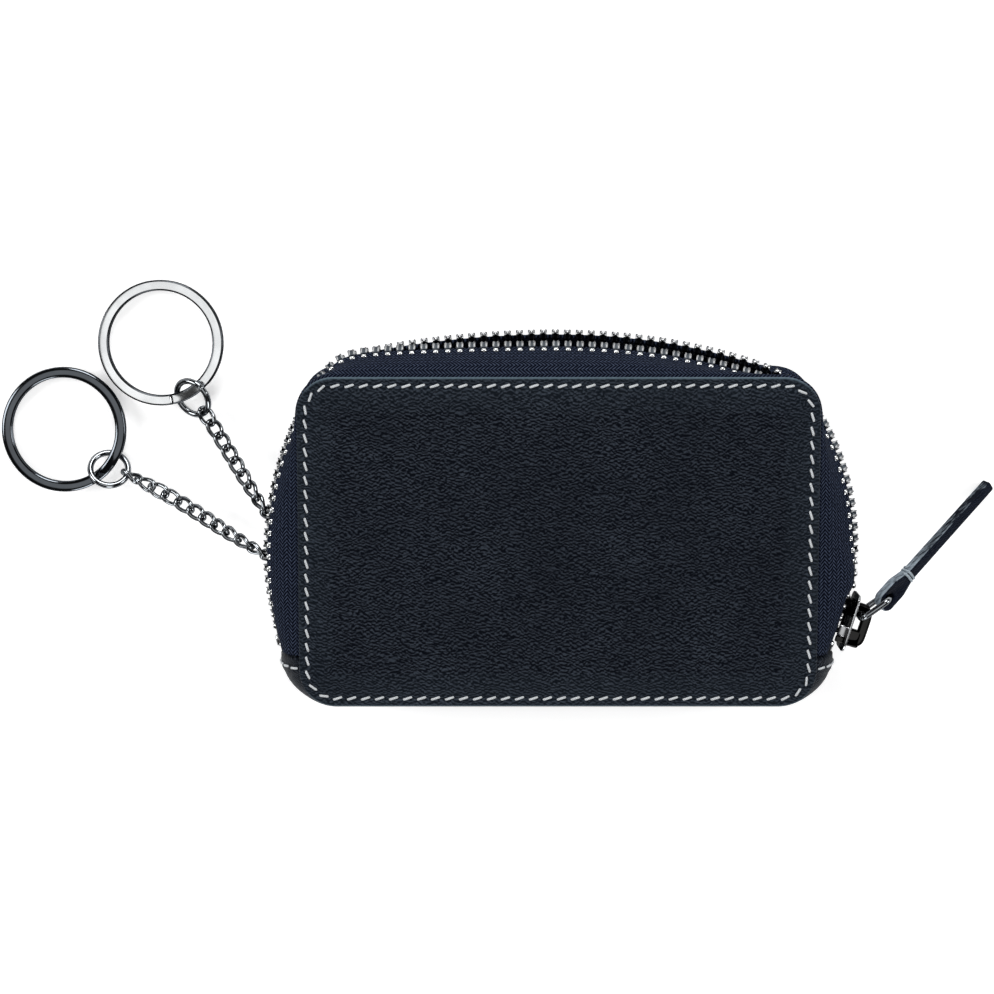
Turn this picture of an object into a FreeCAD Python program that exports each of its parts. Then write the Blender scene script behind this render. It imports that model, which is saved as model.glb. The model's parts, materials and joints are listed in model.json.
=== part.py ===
import FreeCAD, Part
import math
import os
from types import SimpleNamespace

import Sketcher
from FreeCAD import Matrix, Placement, Rotation, Vector

# Zip-around leather key case, lying on its back with the zip open.
# Origin: centre of the back face. +X along the case, +Y towards the top edge, +Z out of the front.

# Driving sizes in millimetres and degrees
SIZES = {
    # leather panels, boards and linings
    "panel_width": 101.0,
    "panel_length": 64.5,
    "panel_corner": 7.0,
    "leather_thick": 1.2,
    "layer_thick": 0.6,
    "lining_thick": 0.4,
    "case_thick": 22.0,
    "rim_round": 0.5,
    "seam_width": 5.0,
    "lining_inset": 2.0,
    "board_gap": 0.3,
    # plan of the open zip: three bows round the panel
    "right_bow_radius": 50.0,
    "right_bow_rise": 8.1,
    "right_bow_y": -2.0,
    "left_bow_radius": 65.0,
    "left_bow_rise": 6.2,
    "left_bow_y": -4.3,
    "top_bow_radius": 135.0,
    "front_top_left_radius": 600.0,
    "back_top_left_radius": 200.0,
    "front_top_rise": 5.0,
    "back_top_rise": 7.3,
    "bow_softness": 2.0,
    "zip_end_y": -22.5,
    "front_end_top_y": -8.4,
    # height of each tape edge from the middle of the case
    "right_half_gap": 2.6,
    "front_top_half_gap": 3.2,
    "back_top_half_gap": 2.8,
    "front_left_half_gap": 4.0,
    "back_left_half_gap": 4.4,
    "left_end_half_gap": 2.6,
    # slope of each tape below level, where it leaves the seam and at its edge
    "tape_start_slope": 20.0,
    "tape_end_slope": 90.0,
    "tape_top_slope": 57.0,
    "tape_left_slope": 65.0,
    # zip teeth and stops
    "tooth_pitch": 2.34,
    "tooth_width": 1.2,
    "tooth_head": 1.7,
    "tooth_thick": 1.7,
    "tooth_leg": 1.25,
    "tooth_nub": 0.35,
    "stop_width": 2.2,
    # bottom gusset
    "gusset_gap": 0.3,
    "gusset_side_bulge": 3.6,
    "gusset_bottom_bulge": 0.9,
    # cover opening between tape wall and panel on the slider's side
    "wall_clear": 0.5,
    "tape_split_gap": 2.0,
    # zip slider
    "slider_angle": -17.2,
    "slider_length": 11.6,
    "slider_mouth_half": 4.9,
    "slider_rear_half": 4.4,
    "slider_shoulder": 3.4,
    "slider_plate": 1.0,
    "slider_channel_half": 1.45,
    "slider_slot_half": 1.1,
    "slider_flange": 0.75,
    "slider_flange_top": 1.6,
    "slider_post_half": 0.7,
    "slider_post_tip": 1.0,
    "slider_post_length": 4.0,
    "slider_round": 0.4,
    "bridge_low": 4.9,
    "bridge_high": 4.3,
    "bridge_rise": 3.3,
    "bridge_thick": 1.5,
    "bridge_width": 2.4,
    "bridge_shoulder": 1.3,
    # pull link and strap
    "link_wire": 1.0,
    "link_reach": 6.8,
    "link_half": 3.1,
    "link_corner": 1.4,
    "link_seat": 1.05,
    "link_along": 1.5,
    "link_heading": 35.5,
    "strap_heading": 45.0,
    "strap_pitch": 18.0,
    "strap_roll": 30.0,
    "strap_layer": 0.9,
    "strap_hole": 2.8,
    "strap_back": 2.7,
    "strap_end_half": 1.2,
    "strap_paddle_half": 2.0,
    "strap_paddle_length": 2.6,
    "strap_neck": 6.2,
    "strap_neck_half": 1.2,
    "strap_tail": 30.4,
    "strap_tail_half": 1.1,
    # anchor inside the case
    "anchor_inset": 5.5,
    "anchor_y": -6.3,
    "anchor_radius": 4.0,
    "anchor_wire": 1.0,
    "tab_bore": 2.7,
    "tab_leather": 0.9,
    "tab_width": 4.5,
    "tab_length": 13.0,
    "rivet_setback": 5.0,
    "rivet_shank": 2.0,
    "rivet_head": 4.6,
    "rivet_head_thick": 0.7,
    "rivet_clear": 0.2,
    # curb chains
    "chain_wire": 0.75,
    "chain_pitch": 3.05,
    "chain_slack": 0.16,
    "chain_half_width": 1.18,
    "chain_twist": 45.0,
    "chain_crest": 10.1,
    "chain_a_leave": 143.0,
    "chain_b_leave": 192.0,
    "chain_a_exit_out": 6.9,
    "chain_a_exit_y": 4.0,
    "chain_b_exit_out": 7.6,
    "chain_b_exit_y": -4.0,
    "chain_a_heading": 123.6,
    "chain_b_heading": 151.5,
    "chain_drop": 23.0,
    "jump_a_heading": 128.0,
    "jump_b_heading": 165.0,
    # jump rings and split key rings
    "jump_radius": 3.75,
    "jump_wire": 1.0,
    "jump_tilt": 38.0,
    "jump_lift": 2.85,
    "ring_diameter": 25.0,
    "ring_band": 2.1,
    "ring_coil": 0.95,
    "ring_coil_gap": 0.06,
    "ring_edge_round": 0.3,
    "ring_jog": 38.0,
    "ring_tilt": 3.5,
    "ring_a_bearing": -60.1,
    "ring_b_bearing": -41.0,
    "ring_a_reach": 12.6,
    "ring_b_reach": 12.0,
}

# Number of links in each chain, from the anchor ring out
CHAIN_A_LINKS = 13
CHAIN_B_LINKS = 15

# Sections of the tapes, the gusset and a chain link on each stretch
SIDE_STEPS = 8
CORNER_STEPS = 6
TOP_STEPS = 14
WALL_STEPS = 5
LINK_STEPS = 10

# Shapes given as shares of the sizes that they follow
WALL_HANDLE_SHARE = 0.42
GUSSET_HANDLE_SHARE = 0.16
LINK_OVAL_SHARE = 0.8

# Halvings of the search for a hook's place, and the turn across which a link's end is judged
HOOK_HALVINGS = 40
LINK_TURN_STEP = 1e-3

doc = FreeCAD.newDocument("key_case")
sheet = doc.addObject("Spreadsheet::Sheet", "sizes")
for row, (alias, number) in enumerate(SIZES.items(), start=1):
    sheet.set("A%d" % row, alias)
    sheet.set("B%d" % row, str(number))
    sheet.setAlias("B%d" % row, alias)
doc.recompute()
size = SimpleNamespace(**{alias: float(sheet.get(alias)) for alias in SIZES})

UP = Vector(0, 0, 1)
parts = {}


# Formulas of named sizes


def total(**factors):
    """A sum of named sizes, each times its factor: the formula and its value."""
    text = " + ".join("%r * sizes.%s" % (factor, name) for name, factor in factors.items())
    value = sum(factor * getattr(size, name) for name, factor in factors.items())
    return SimpleNamespace(text=text or "0", value=value)


def minus(amount):
    """The same sum with its sign turned."""
    return SimpleNamespace(text="-(%s)" % amount.text, value=-amount.value)


def bind(thing, prop, amount):
    """Tie a property to its formula."""
    thing.setExpression(prop, amount.text)


# Features shared by the bodies


def new_body(label):
    body = doc.addObject("PartDesign::Body", label)
    body.Label = label
    parts[label] = body
    return body


def origin_plane(body, role):
    return next(plane for plane in body.Origin.OriginFeatures if plane.Role == role)


def attach(feature, body, role):
    feature.AttachmentSupport = [(origin_plane(body, role), "")]
    feature.MapMode = "FlatFace"


def outline_sketch(body, name, role, corners, offset):
    """A closed outline of straight edges, every corner held by two formulas."""
    sketch = body.newObject("Sketcher::SketchObject", name)
    attach(sketch, body, role)
    bind(sketch, "AttachmentOffset.Base.z", offset)
    points = [Vector(across.value, along.value, 0) for across, along in corners]
    count = len(points)
    for index in range(count):
        sketch.addGeometry(Part.LineSegment(points[index], points[(index + 1) % count]), False)
    for index in range(count):
        sketch.addConstraint(Sketcher.Constraint("Coincident", index, 2, (index + 1) % count, 1))
    for index, pair in enumerate(corners):
        for kind, axis, amount in (("DistanceX", -2, pair[0]), ("DistanceY", -1, pair[1])):
            if amount.text == "0":
                sketch.addConstraint(Sketcher.Constraint("PointOnObject", index, 1, axis))
                continue
            if amount.value < 0:
                held = Sketcher.Constraint(kind, index, 1, -1, 1, -amount.value)
                amount = minus(amount)
            else:
                held = Sketcher.Constraint(kind, -1, 1, index, 1, amount.value)
            place = sketch.addConstraint(held)
            label = "%s%d" % (kind, index)
            sketch.renameConstraint(place, label)
            bind(sketch, "Constraints." + label, amount)
    return sketch


def pad(body, name, sketch, length):
    feature = body.newObject("PartDesign::Pad", name)
    feature.Profile = sketch
    bind(feature, "Length", length)
    sketch.Visibility = False
    return feature


def round_edges(body, name, base, edges, radius):
    feature = body.newObject("PartDesign::Fillet", name)
    feature.Base = (base, edges)
    bind(feature, "Radius", radius)
    return feature


def upright_edges(shape):
    """Names of the straight edges that run along Z."""
    names = []
    for index, edge in enumerate(shape.Edges, start=1):
        ends = [vertex.Point for vertex in edge.Vertexes]
        if len(ends) == 2 and ends[0].sub(ends[1]).cross(UP).Length < edge.Length * 1e-6:
            names.append("Edge%d" % index)
    return names


def face_towards(shape, direction):
    """Name of the outermost flat face that looks along a direction."""
    best = max(
        range(len(shape.Faces)),
        key=lambda index: shape.Faces[index].CenterOfMass.dot(direction)
        + shape.Faces[index].normalAt(0, 0).dot(direction) * shape.BoundBox.DiagonalLength,
    )
    return "Face%d" % (best + 1)


def round_post(body, kind, name, place, radius, height):
    """A cylinder along Z in a body, added or taken away; place is its centre and its base."""
    feature = body.newObject("PartDesign::" + kind, name)
    attach(feature, body, "XY_Plane")
    for axis, amount in zip("xyz", place):
        bind(feature, "AttachmentOffset.Base." + axis, amount)
    bind(feature, "Radius", radius)
    bind(feature, "Height", height)
    return feature


def plate(label, half_width, half_length, corner, base, thick, rim=None, outward=UP):
    """A flat rounded rectangle, one face rounded along its rim where it shows."""
    body = new_body(label)
    left, low = minus(half_width), minus(half_length)
    corners = [(left, low), (half_width, low), (half_width, half_length), (left, half_length)]
    sketch = outline_sketch(body, label + "_outline", "XY_Plane", corners, base)
    slab = pad(body, label + "_slab", sketch, thick)
    doc.recompute()
    rounded = round_edges(body, label + "_corners", slab, upright_edges(slab.Shape), corner)
    doc.recompute()
    if rim is not None:
        face = face_towards(rounded.Shape, outward)
        round_edges(body, label + "_rim", rounded, [face], rim)
        doc.recompute()
    return body


def shaped(label, shape, placement=None):
    """A piece whose shape is worked out below, under its own label."""
    feature = doc.addObject("Part::Feature", label)
    feature.Label = label
    feature.Shape = shape
    if placement is not None:
        feature.Placement = placement
    parts[label] = feature
    return feature


# Panels, boards and linings: leather outside, a middle layer of board and seam, lining inside


def make_flat_layers():
    half_width, half_length = total(panel_width=0.5), total(panel_length=0.5)
    board_width = total(panel_width=0.5, seam_width=-1, board_gap=-1)
    board_length = total(panel_length=0.5, seam_width=-1, board_gap=-1)
    board_corner = total(panel_corner=0.5)
    lining_width = total(panel_width=0.5, lining_inset=-1)
    lining_length = total(panel_length=0.5, lining_inset=-1)
    lining_corner = total(panel_corner=1, lining_inset=-1)
    leather, layer, lining = total(leather_thick=1), total(layer_thick=1), total(lining_thick=1)
    plate("back_panel", half_width, half_length, total(panel_corner=1), total(), leather,
          total(rim_round=1), UP * -1)
    back_board = plate("back_board", board_width, board_length, board_corner, leather, layer)
    back_lining = plate("back_lining", lining_width, lining_length, lining_corner,
                        total(leather_thick=1, layer_thick=1), lining)
    plate("front_panel", half_width, half_length, total(panel_corner=1),
          total(case_thick=1, leather_thick=-1), leather, total(rim_round=1), UP)
    plate("front_board", board_width, board_length, board_corner,
          total(case_thick=1, leather_thick=-1, layer_thick=-1), layer)
    plate("front_lining", lining_width, lining_length, lining_corner,
          total(case_thick=1, leather_thick=-1, layer_thick=-1, lining_thick=-1), lining)
    # the rivet's foot sits in the board and its shank goes through the lining
    centre = rivet_centre()
    round_post(back_board, "SubtractiveCylinder", "back_board_foot_hole", (*centre, leather),
               total(rivet_head=0.5, rivet_clear=1), layer)
    round_post(back_lining, "SubtractiveCylinder", "back_lining_hole",
               (*centre, total(leather_thick=1, layer_thick=1)),
               total(rivet_shank=0.5, rivet_clear=0.5), lining)


# Outline of the panel as a path: right side upwards, top leftwards, left side downwards


def corner_centres():
    across = size.panel_width / 2 - size.panel_corner
    along = size.panel_length / 2 - size.panel_corner
    return across, along


def side_point(sign, y):
    """A point on the right (+1) or left (-1) side and its outward normal."""
    return Vector(sign * size.panel_width / 2, y, 0), Vector(sign, 0, 0)


def top_point(sign, x):
    """A point on the top (+1) or bottom (-1) side and its outward normal."""
    return Vector(x, sign * size.panel_length / 2, 0), Vector(0, sign, 0)


def corner_point(across_sign, along_sign, degrees):
    """A point on a rounded corner; 0 degrees looks along X and 90 along Y."""
    across, along = corner_centres()
    turn = math.radians(degrees)
    normal = Vector(across_sign * math.cos(turn), along_sign * math.sin(turn), 0)
    centre = Vector(across_sign * across, along_sign * along, 0)
    return centre + normal * size.panel_corner, normal


def spread(start, end, steps):
    """Evenly spaced values from start to end, both included."""
    return [start + (end - start) * index / steps for index in range(steps + 1)]


def zip_stations():
    """Stations round the zip from the slider's end: a point on the outline and its outward normal."""
    across, along = corner_centres()
    split = size.front_end_top_y
    stations = [side_point(1, y) for y in spread(size.zip_end_y, split, SIDE_STEPS // 2)]
    stations += [side_point(1, y) for y in spread(split, along, SIDE_STEPS)[1:]]
    stations += [corner_point(1, 1, turn) for turn in spread(0, 90, CORNER_STEPS)[1:]]
    stations += [top_point(1, x) for x in spread(across, -across, TOP_STEPS)[1:]]
    stations += [corner_point(-1, 1, turn) for turn in spread(90, 0, CORNER_STEPS)[1:]]
    stations += [side_point(-1, y) for y in spread(along, size.zip_end_y, SIDE_STEPS)[1:]]
    return stations


def reach(point, normal, centre, radius):
    """How far a ray from the outline runs, outwards positive, to a bow's circle."""
    start = point - centre
    along = start.dot(normal)
    inside = along * along - start.dot(start) + radius * radius
    if inside < 0:
        return size.panel_width
    return -along + math.sqrt(inside)


def bow_offset(point, normal, top_rise, top_left_radius):
    """Distance of a tape's edge outside the panel: a soft least of the side's and the top's bow."""
    top_radius = size.top_bow_radius if point.x > 0 else top_left_radius
    right = Vector(size.panel_width / 2 + size.right_bow_rise - size.right_bow_radius, size.right_bow_y, 0)
    left = Vector(-size.panel_width / 2 - size.left_bow_rise + size.left_bow_radius, size.left_bow_y, 0)
    top = Vector(0, size.panel_length / 2 + top_rise - top_radius, 0)
    side = (right, size.right_bow_radius) if point.x > 0 else (left, size.left_bow_radius)
    bows = [side, (top, top_radius)]
    lengths = [reach(point, normal, centre, radius) for centre, radius in bows]
    least = min(lengths)
    soft = sum(math.exp((least - length) / size.bow_softness) for length in lengths)
    return least - size.bow_softness * math.log(soft)


def smooth(value):
    """A step from 0 to 1 with level ends."""
    value = min(1.0, max(0.0, value))
    return value * value * (3 - 2 * value)


def row_shape(point, normal, side):
    """Half gap of the row and slope of the tape's edge at a station, side +1 front and -1 back."""
    across, along = corner_centres()
    top_gap = size.front_top_half_gap if side > 0 else size.back_top_half_gap
    left_gap = size.front_left_half_gap if side > 0 else size.back_left_half_gap
    on_top = smooth((point.y - along) / size.panel_corner)
    if point.x > 0:
        gap = size.right_half_gap + (top_gap - size.right_half_gap) * on_top
        return gap, size.tape_end_slope + (size.tape_top_slope - size.tape_end_slope) * on_top
    open_left = smooth((point.y - size.zip_end_y) / (size.left_bow_y - size.zip_end_y))
    gap = size.left_end_half_gap + (left_gap - size.left_end_half_gap) * open_left
    slope = size.tape_end_slope + (size.tape_left_slope - size.tape_end_slope) * open_left
    return gap + (top_gap - gap) * on_top, slope + (size.tape_top_slope - slope) * on_top


def middle():
    return size.case_thick / 2


def seam_height():
    """Height of the middle layer's centre from the middle of the case."""
    return middle() - size.leather_thick - size.layer_thick / 2


def wall_curve(point, normal, side):
    """Centre line of a tape across its width, as (offset, height from the middle) pairs."""
    top_rise = size.front_top_rise if side > 0 else size.back_top_rise
    top_left_radius = size.front_top_left_radius if side > 0 else size.back_top_left_radius
    offset = bow_offset(point, normal, top_rise, top_left_radius)
    gap, slope = row_shape(point, normal, side)
    first = Vector(-size.layer_thick, seam_height(), 0)
    last = Vector(offset, gap, 0)
    handle = (last - first).Length * WALL_HANDLE_SHARE
    start, end = math.radians(size.tape_start_slope), math.radians(slope)
    second = first + Vector(math.cos(start), -math.sin(start), 0) * handle
    third = last - Vector(math.cos(end), -math.sin(end), 0) * handle
    curve = [Vector(-size.seam_width, seam_height(), 0)]
    for index in range(WALL_STEPS + 1):
        t = index / WALL_STEPS
        u = 1 - t
        curve.append(first * u ** 3 + second * (3 * u * u * t) + third * (3 * u * t * t) + last * t ** 3)
    return curve, Vector(math.cos(end), -math.sin(end), 0)


def thicken(curve, thick):
    """Outline of a strip: the centre line moved half its thickness to each side."""
    left, right = [], []
    for index, here in enumerate(curve):
        before = curve[max(0, index - 1)]
        after = curve[min(len(curve) - 1, index + 1)]
        along = (after - before).normalize()
        aside = Vector(-along.y, along.x, 0) * (thick / 2)
        left.append(here + aside)
        right.append(here - aside)
    return left + right[::-1]


def lift(point, normal, side, flat):
    """A place of the cross-section in the case: out along the normal, up or down from the middle."""
    out = point + normal * flat.x
    return Vector(out.x, out.y, middle() + side * flat.y)


def strip_solid(sections):
    """A ruled skin through closed cross-sections."""
    wires = [Part.makePolygon(section + section[:1]) for section in sections]
    solid = Part.makeLoft(wires, True, True)
    if solid.Volume < 0:
        solid.reverse()
    return solid


def tape_sections(stations, side, first_step=0):
    """Cross-sections of a tape; first_step skips the sewn flange and the start of the wall."""
    sections = []
    for point, normal in stations:
        curve, _ = wall_curve(point, normal, side)
        outline = thicken(curve[first_step:], size.layer_thick)
        sections.append([lift(point, normal, side, flat) for flat in outline])
    return sections


def wall_start_step():
    """First step of the wall that lies clear outside the panel's edge at every low station."""
    stations = [station for station in zip_stations() if is_end_station(station)]
    for step in range(1, WALL_STEPS + 1):
        offsets = [wall_curve(point, normal, 1)[0][step].x for point, normal in stations]
        if min(offsets) > size.wall_clear + size.layer_thick / 2:
            return step
    raise RuntimeError("the tape's end has no wall outside the panel")


def is_end_station(station):
    """True on the slider's side below the place where the front tape leaves the slider."""
    point, normal = station
    return normal.x > 0 and normal.y == 0 and point.y <= size.front_end_top_y + size.tape_split_gap / 2


def make_tapes():
    stations = zip_stations()
    shaped("back_zip_tape", strip_solid(tape_sections(stations, -1)))
    low = [station for station in stations if is_end_station(station)]
    high = [station for station in stations if not is_end_station(station)]
    # the stretch of wall that the slider holds stays with the back half
    step = wall_start_step()
    shaped("front_tape_end", strip_solid(tape_sections(low, 1, step)))
    point, normal = side_point(1, size.front_end_top_y + size.tape_split_gap)
    moving = strip_solid(tape_sections([(point, normal)] + high, 1))
    # along that stretch only the sewn flange moves with the cover
    flange = []
    for point, normal in low + [(point, normal)]:
        curve, _ = wall_curve(point, normal, 1)
        edge = [curve[0], Vector(curve[1].x, curve[0].y, 0)]
        flange.append([lift(point, normal, 1, flat) for flat in thicken(edge, size.layer_thick)])
    shaped("front_zip_tape", moving.fuse(strip_solid(flange)).removeSplitter())


# Zip teeth: a rounded head past the tape's edge, two legs that grip it, and a nub towards its neighbour


def tooth_profile(head, leg):
    """Face of a tooth across the tape: legs behind the edge, round head in front."""
    half, grip = size.tooth_thick / 2, size.layer_thick / 2
    corners = [Vector(-leg, grip, 0), Vector(0, grip, 0), Vector(0, -grip, 0), Vector(-leg, -grip, 0),
               Vector(-leg, -half, 0), Vector(head - half, -half, 0)]
    edges = [Part.makeLine(here, there) for here, there in zip(corners, corners[1:])]
    nose = Part.Arc(corners[-1], Vector(head, 0, 0), Vector(head - half, half, 0)).toShape()
    back = [Vector(head - half, half, 0), Vector(-leg, half, 0), corners[0]]
    edges.append(nose)
    edges += [Part.makeLine(here, there) for here, there in zip(back, back[1:])]
    return Part.Face(Part.Wire(edges))


def tooth_solid():
    """One tooth: X past the tape's edge, Y across the tape, Z along the zip."""
    body = tooth_profile(size.tooth_head, size.tooth_leg).extrude(UP * size.tooth_width)
    body.translate(UP * (-size.tooth_width / 2))
    seat = Vector(size.tooth_head - size.tooth_thick / 2, 0, 0)
    nub = Part.makeSphere(size.tooth_nub, seat + UP * (size.tooth_width / 2))
    dimple = Part.makeSphere(size.tooth_nub, seat - UP * (size.tooth_width / 2))
    return body.fuse(nub).cut(dimple).removeSplitter().Solids[0]


def stop_solid():
    """An end stop: a plain block clamped over the tape's edge."""
    body = tooth_profile(size.tooth_thick / 2 + size.layer_thick, size.tooth_leg)
    body = body.extrude(UP * size.stop_width)
    body.translate(UP * (-size.stop_width / 2))
    return body


def row_frames(side):
    """Frames along a tape's edge at every section: a point of the edge and the way past it."""
    frames = []
    for point, normal in zip_stations():
        curve, past = wall_curve(point, normal, side)
        edge = lift(point, normal, side, curve[-1])
        way = normal * past.x + UP * (side * past.y)
        frames.append((edge, way))
    return frames


def along_row(frames, distance):
    """Placement at a distance along a tape's edge: X past the edge, Z along the zip."""
    for (here, way), (there, next_way) in zip(frames, frames[1:]):
        span = (there - here).Length
        if distance <= span:
            share = distance / span
            past = (way * (1 - share) + next_way * share).normalize()
            along = (there - here).normalize()
            past = (past - along * past.dot(along)).normalize()
            across = along.cross(past)
            spot = here + (there - here) * share
            matrix = Matrix(past.x, across.x, along.x, spot.x,
                            past.y, across.y, along.y, spot.y,
                            past.z, across.z, along.z, spot.z,
                            0, 0, 0, 1)
            return Placement(matrix)
        distance -= span
    raise RuntimeError("past the end of the zip")


def row_length(frames):
    return sum((there - here).Length for (here, _), (there, _) in zip(frames, frames[1:]))


def make_teeth():
    tooth, stop = tooth_solid(), stop_solid()
    rows = {}
    for side in (1, -1):
        frames = row_frames(side)
        inset = size.stop_width + size.tooth_pitch / 2
        first = inset + size.tooth_pitch / 2 if side > 0 else inset
        # the last tooth stays half a pitch clear of the stop, which sits its own width from the end
        room = row_length(frames) - inset - size.stop_width / 2 - first
        count = int(room / size.tooth_pitch) + 1
        places = [along_row(frames, first + index * size.tooth_pitch) for index in range(count)]
        rows[side] = [tooth.transformed(place.toMatrix()) for place in places]
        last = along_row(frames, row_length(frames) - size.stop_width)
        name = "zip_stop_left_front" if side > 0 else "zip_stop_left_back"
        shaped(name, stop.transformed(last.toMatrix()))
    shaped("back_zip_teeth", Part.makeCompound(rows[-1]))
    limit = size.front_end_top_y + size.tape_split_gap / 2
    held = [solid for solid in rows[1] if solid.CenterOfMass.x > 0 and solid.CenterOfMass.y < limit]
    free = [solid for solid in rows[1] if not (solid.CenterOfMass.x > 0 and solid.CenterOfMass.y < limit)]
    shaped("front_teeth_end", Part.makeCompound(held))
    shaped("front_zip_teeth", Part.makeCompound(free))
    # one box stop joins both rows at the slider's end
    pair = []
    for side in (1, -1):
        first = along_row(row_frames(side), size.stop_width / 2)
        pair.append(stop.transformed(first.toMatrix()))
    shaped("zip_stop_right", Part.makeCompound(pair))


# Bottom gusset: a leather strip from one zip end round the bottom to the other


def gusset_stations():
    across, along = corner_centres()
    end = size.zip_end_y - size.gusset_gap
    stations = [side_point(1, y) for y in (end, -along)]
    stations += [corner_point(1, -1, turn) for turn in spread(0, 90, CORNER_STEPS)[1:]]
    stations += [top_point(-1, x) for x in spread(across, -across, CORNER_STEPS)[1:]]
    stations += [corner_point(-1, -1, turn) for turn in spread(90, 0, CORNER_STEPS)[1:]]
    stations += [side_point(-1, end)]
    return stations


def gusset_bulge(normal):
    """Full at the sides, fading round the corners to a little along the bottom."""
    low = smooth(-normal.y)
    return size.gusset_side_bulge + (size.gusset_bottom_bulge - size.gusset_side_bulge) * low


def make_gusset():
    sections = []
    for point, normal in gusset_stations():
        bulge = gusset_bulge(normal)
        top = seam_height()
        handle = size.case_thick * GUSSET_HANDLE_SHARE
        first, last = Vector(-size.layer_thick, top, 0), Vector(-size.layer_thick, -top, 0)
        full = (bulge + size.layer_thick) * 4 / 3 - size.layer_thick
        second, third = Vector(full, top - handle, 0), Vector(full, handle - top, 0)
        curve = [Vector(-size.seam_width, top, 0)]
        for index in range(2 * WALL_STEPS + 1):
            t = index / (2 * WALL_STEPS)
            u = 1 - t
            curve.append(first * u ** 3 + second * (3 * u * u * t) + third * (3 * u * t * t) + last * t ** 3)
        curve.append(Vector(-size.seam_width, -top, 0))
        outline = thicken(curve, size.layer_thick)
        sections.append([lift(point, normal, 1, flat) for flat in outline])
    shaped("bottom_gusset", strip_solid(sections))


# Zip slider: X out from the zip's bow, Y along the zip towards its mouth, Z across the two rows


def slider_placement():
    turn = math.radians(size.slider_angle)
    centre = Vector(size.panel_width / 2 + size.right_bow_rise - size.right_bow_radius, size.right_bow_y,
                    middle())
    out = Vector(math.cos(turn), math.sin(turn), 0)
    return Placement(centre + out * size.right_bow_radius, Rotation(UP, size.slider_angle))


def slider_plate_corners():
    rear, mouth = total(slider_length=-0.5), total(slider_length=0.5)
    shoulder = total(slider_length=0.5, slider_shoulder=-1)
    half, narrow = total(slider_mouth_half=1), total(slider_rear_half=1)
    low = total(slider_length=-0.5, slider_shoulder=0.5)
    return [(rear, minus(narrow)), (low, minus(half)), (shoulder, minus(half)), (mouth, minus(narrow)),
            (mouth, narrow), (shoulder, half), (low, half), (rear, narrow)]


def make_slider():
    body = new_body("zip_slider")
    plate_thick = total(slider_plate=1)
    outer = outline_sketch(body, "slider_outer", "YZ_Plane", slider_plate_corners(),
                           total(slider_channel_half=1))
    pad(body, "slider_outer_plate", outer, plate_thick)
    # the post between the two rows joins the plates at the mouth
    tip = total(slider_length=0.5, slider_post_tip=-1)
    waist = total(slider_length=0.5, slider_post_tip=-1, slider_post_length=-0.5)
    tail = total(slider_length=0.5, slider_post_tip=-1, slider_post_length=-1)
    half = total(slider_post_half=1)
    post = outline_sketch(body, "slider_post", "YZ_Plane",
                          [(tail, total()), (waist, minus(half)), (tip, total()), (waist, half)],
                          total(slider_channel_half=-1))
    pad(body, "slider_post_body", post, total(slider_channel_half=2))
    inner = outline_sketch(body, "slider_inner", "YZ_Plane", slider_plate_corners(),
                           total(slider_channel_half=-1, slider_plate=-1))
    pad(body, "slider_inner_plate", inner, plate_thick)
    # flanges turned in along the rear part keep the teeth in the channel
    low, high = total(slider_length=-0.5, slider_shoulder=0.5), total(slider_flange_top=1)
    far, near = total(slider_mouth_half=1), total(slider_mouth_half=1, slider_flange=-1)
    depth = total(slider_channel_half=1, slider_slot_half=-1)
    for name, start in (("outer", total(slider_slot_half=1)), ("inner", total(slider_channel_half=-1))):
        for sign, label in ((1, "front"), (-1, "back")):
            a, b = (near, far) if sign > 0 else (minus(far), minus(near))
            sketch = outline_sketch(body, "slider_%s_%s" % (name, label), "YZ_Plane",
                                    [(low, a), (high, a), (high, b), (low, b)], start)
            pad(body, "slider_%s_%s_flange" % (name, label), sketch, depth)
    doc.recompute()
    solid = body.Tip
    for direction, name in ((Vector(1, 0, 0), "outside"), (Vector(-1, 0, 0), "inside")):
        solid = round_edges(body, "slider_round_" + name, solid,
                            [face_towards(solid.Shape, direction)], total(slider_round=1))
        doc.recompute()
    body.Placement = slider_placement()


def make_bridge():
    """An arch over the outer plate that the pull link hangs on."""
    body = new_body("slider_bridge")
    base = total(slider_channel_half=1, slider_plate=1)
    top = total(slider_channel_half=1, slider_plate=1, bridge_rise=1)
    under = total(slider_channel_half=1, slider_plate=1, bridge_rise=1, bridge_thick=-1)
    bend = total(slider_channel_half=1, slider_plate=1, bridge_rise=1, bridge_shoulder=-1)
    under_bend = total(slider_channel_half=1, slider_plate=1, bridge_rise=1, bridge_shoulder=-1,
                       bridge_thick=-0.4)
    low, high = total(bridge_low=-1), total(bridge_high=1)
    low_top, high_top = total(bridge_low=-1, bridge_shoulder=1), total(bridge_high=1, bridge_shoulder=-1)
    low_in, high_in = total(bridge_low=-1, bridge_thick=1), total(bridge_high=1, bridge_thick=-1)
    low_under = total(bridge_low=-1, bridge_shoulder=1, bridge_thick=0.4)
    high_under = total(bridge_high=1, bridge_shoulder=-1, bridge_thick=-0.4)
    corners = [(base, low), (bend, low), (top, low_top), (top, high_top), (bend, high), (base, high),
               (base, high_in), (under_bend, high_in), (under, high_under), (under, low_under),
               (under_bend, low_in), (base, low_in)]
    sketch = outline_sketch(body, "bridge_outline", "XY_Plane", corners, total(bridge_width=-0.5))
    pad(body, "bridge_arch", sketch, total(bridge_width=1))
    body.Placement = slider_placement()


# Pull: a wire link on the bridge and a leather strap of two layers on the link


def pull_link_placement():
    """X along the link, origin on the wire under the bridge."""
    seat = Vector(size.slider_channel_half + size.slider_plate + size.link_seat, size.link_along, 0)
    return Placement(slider_placement().multVec(seat), Rotation(UP, size.link_heading))


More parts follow.
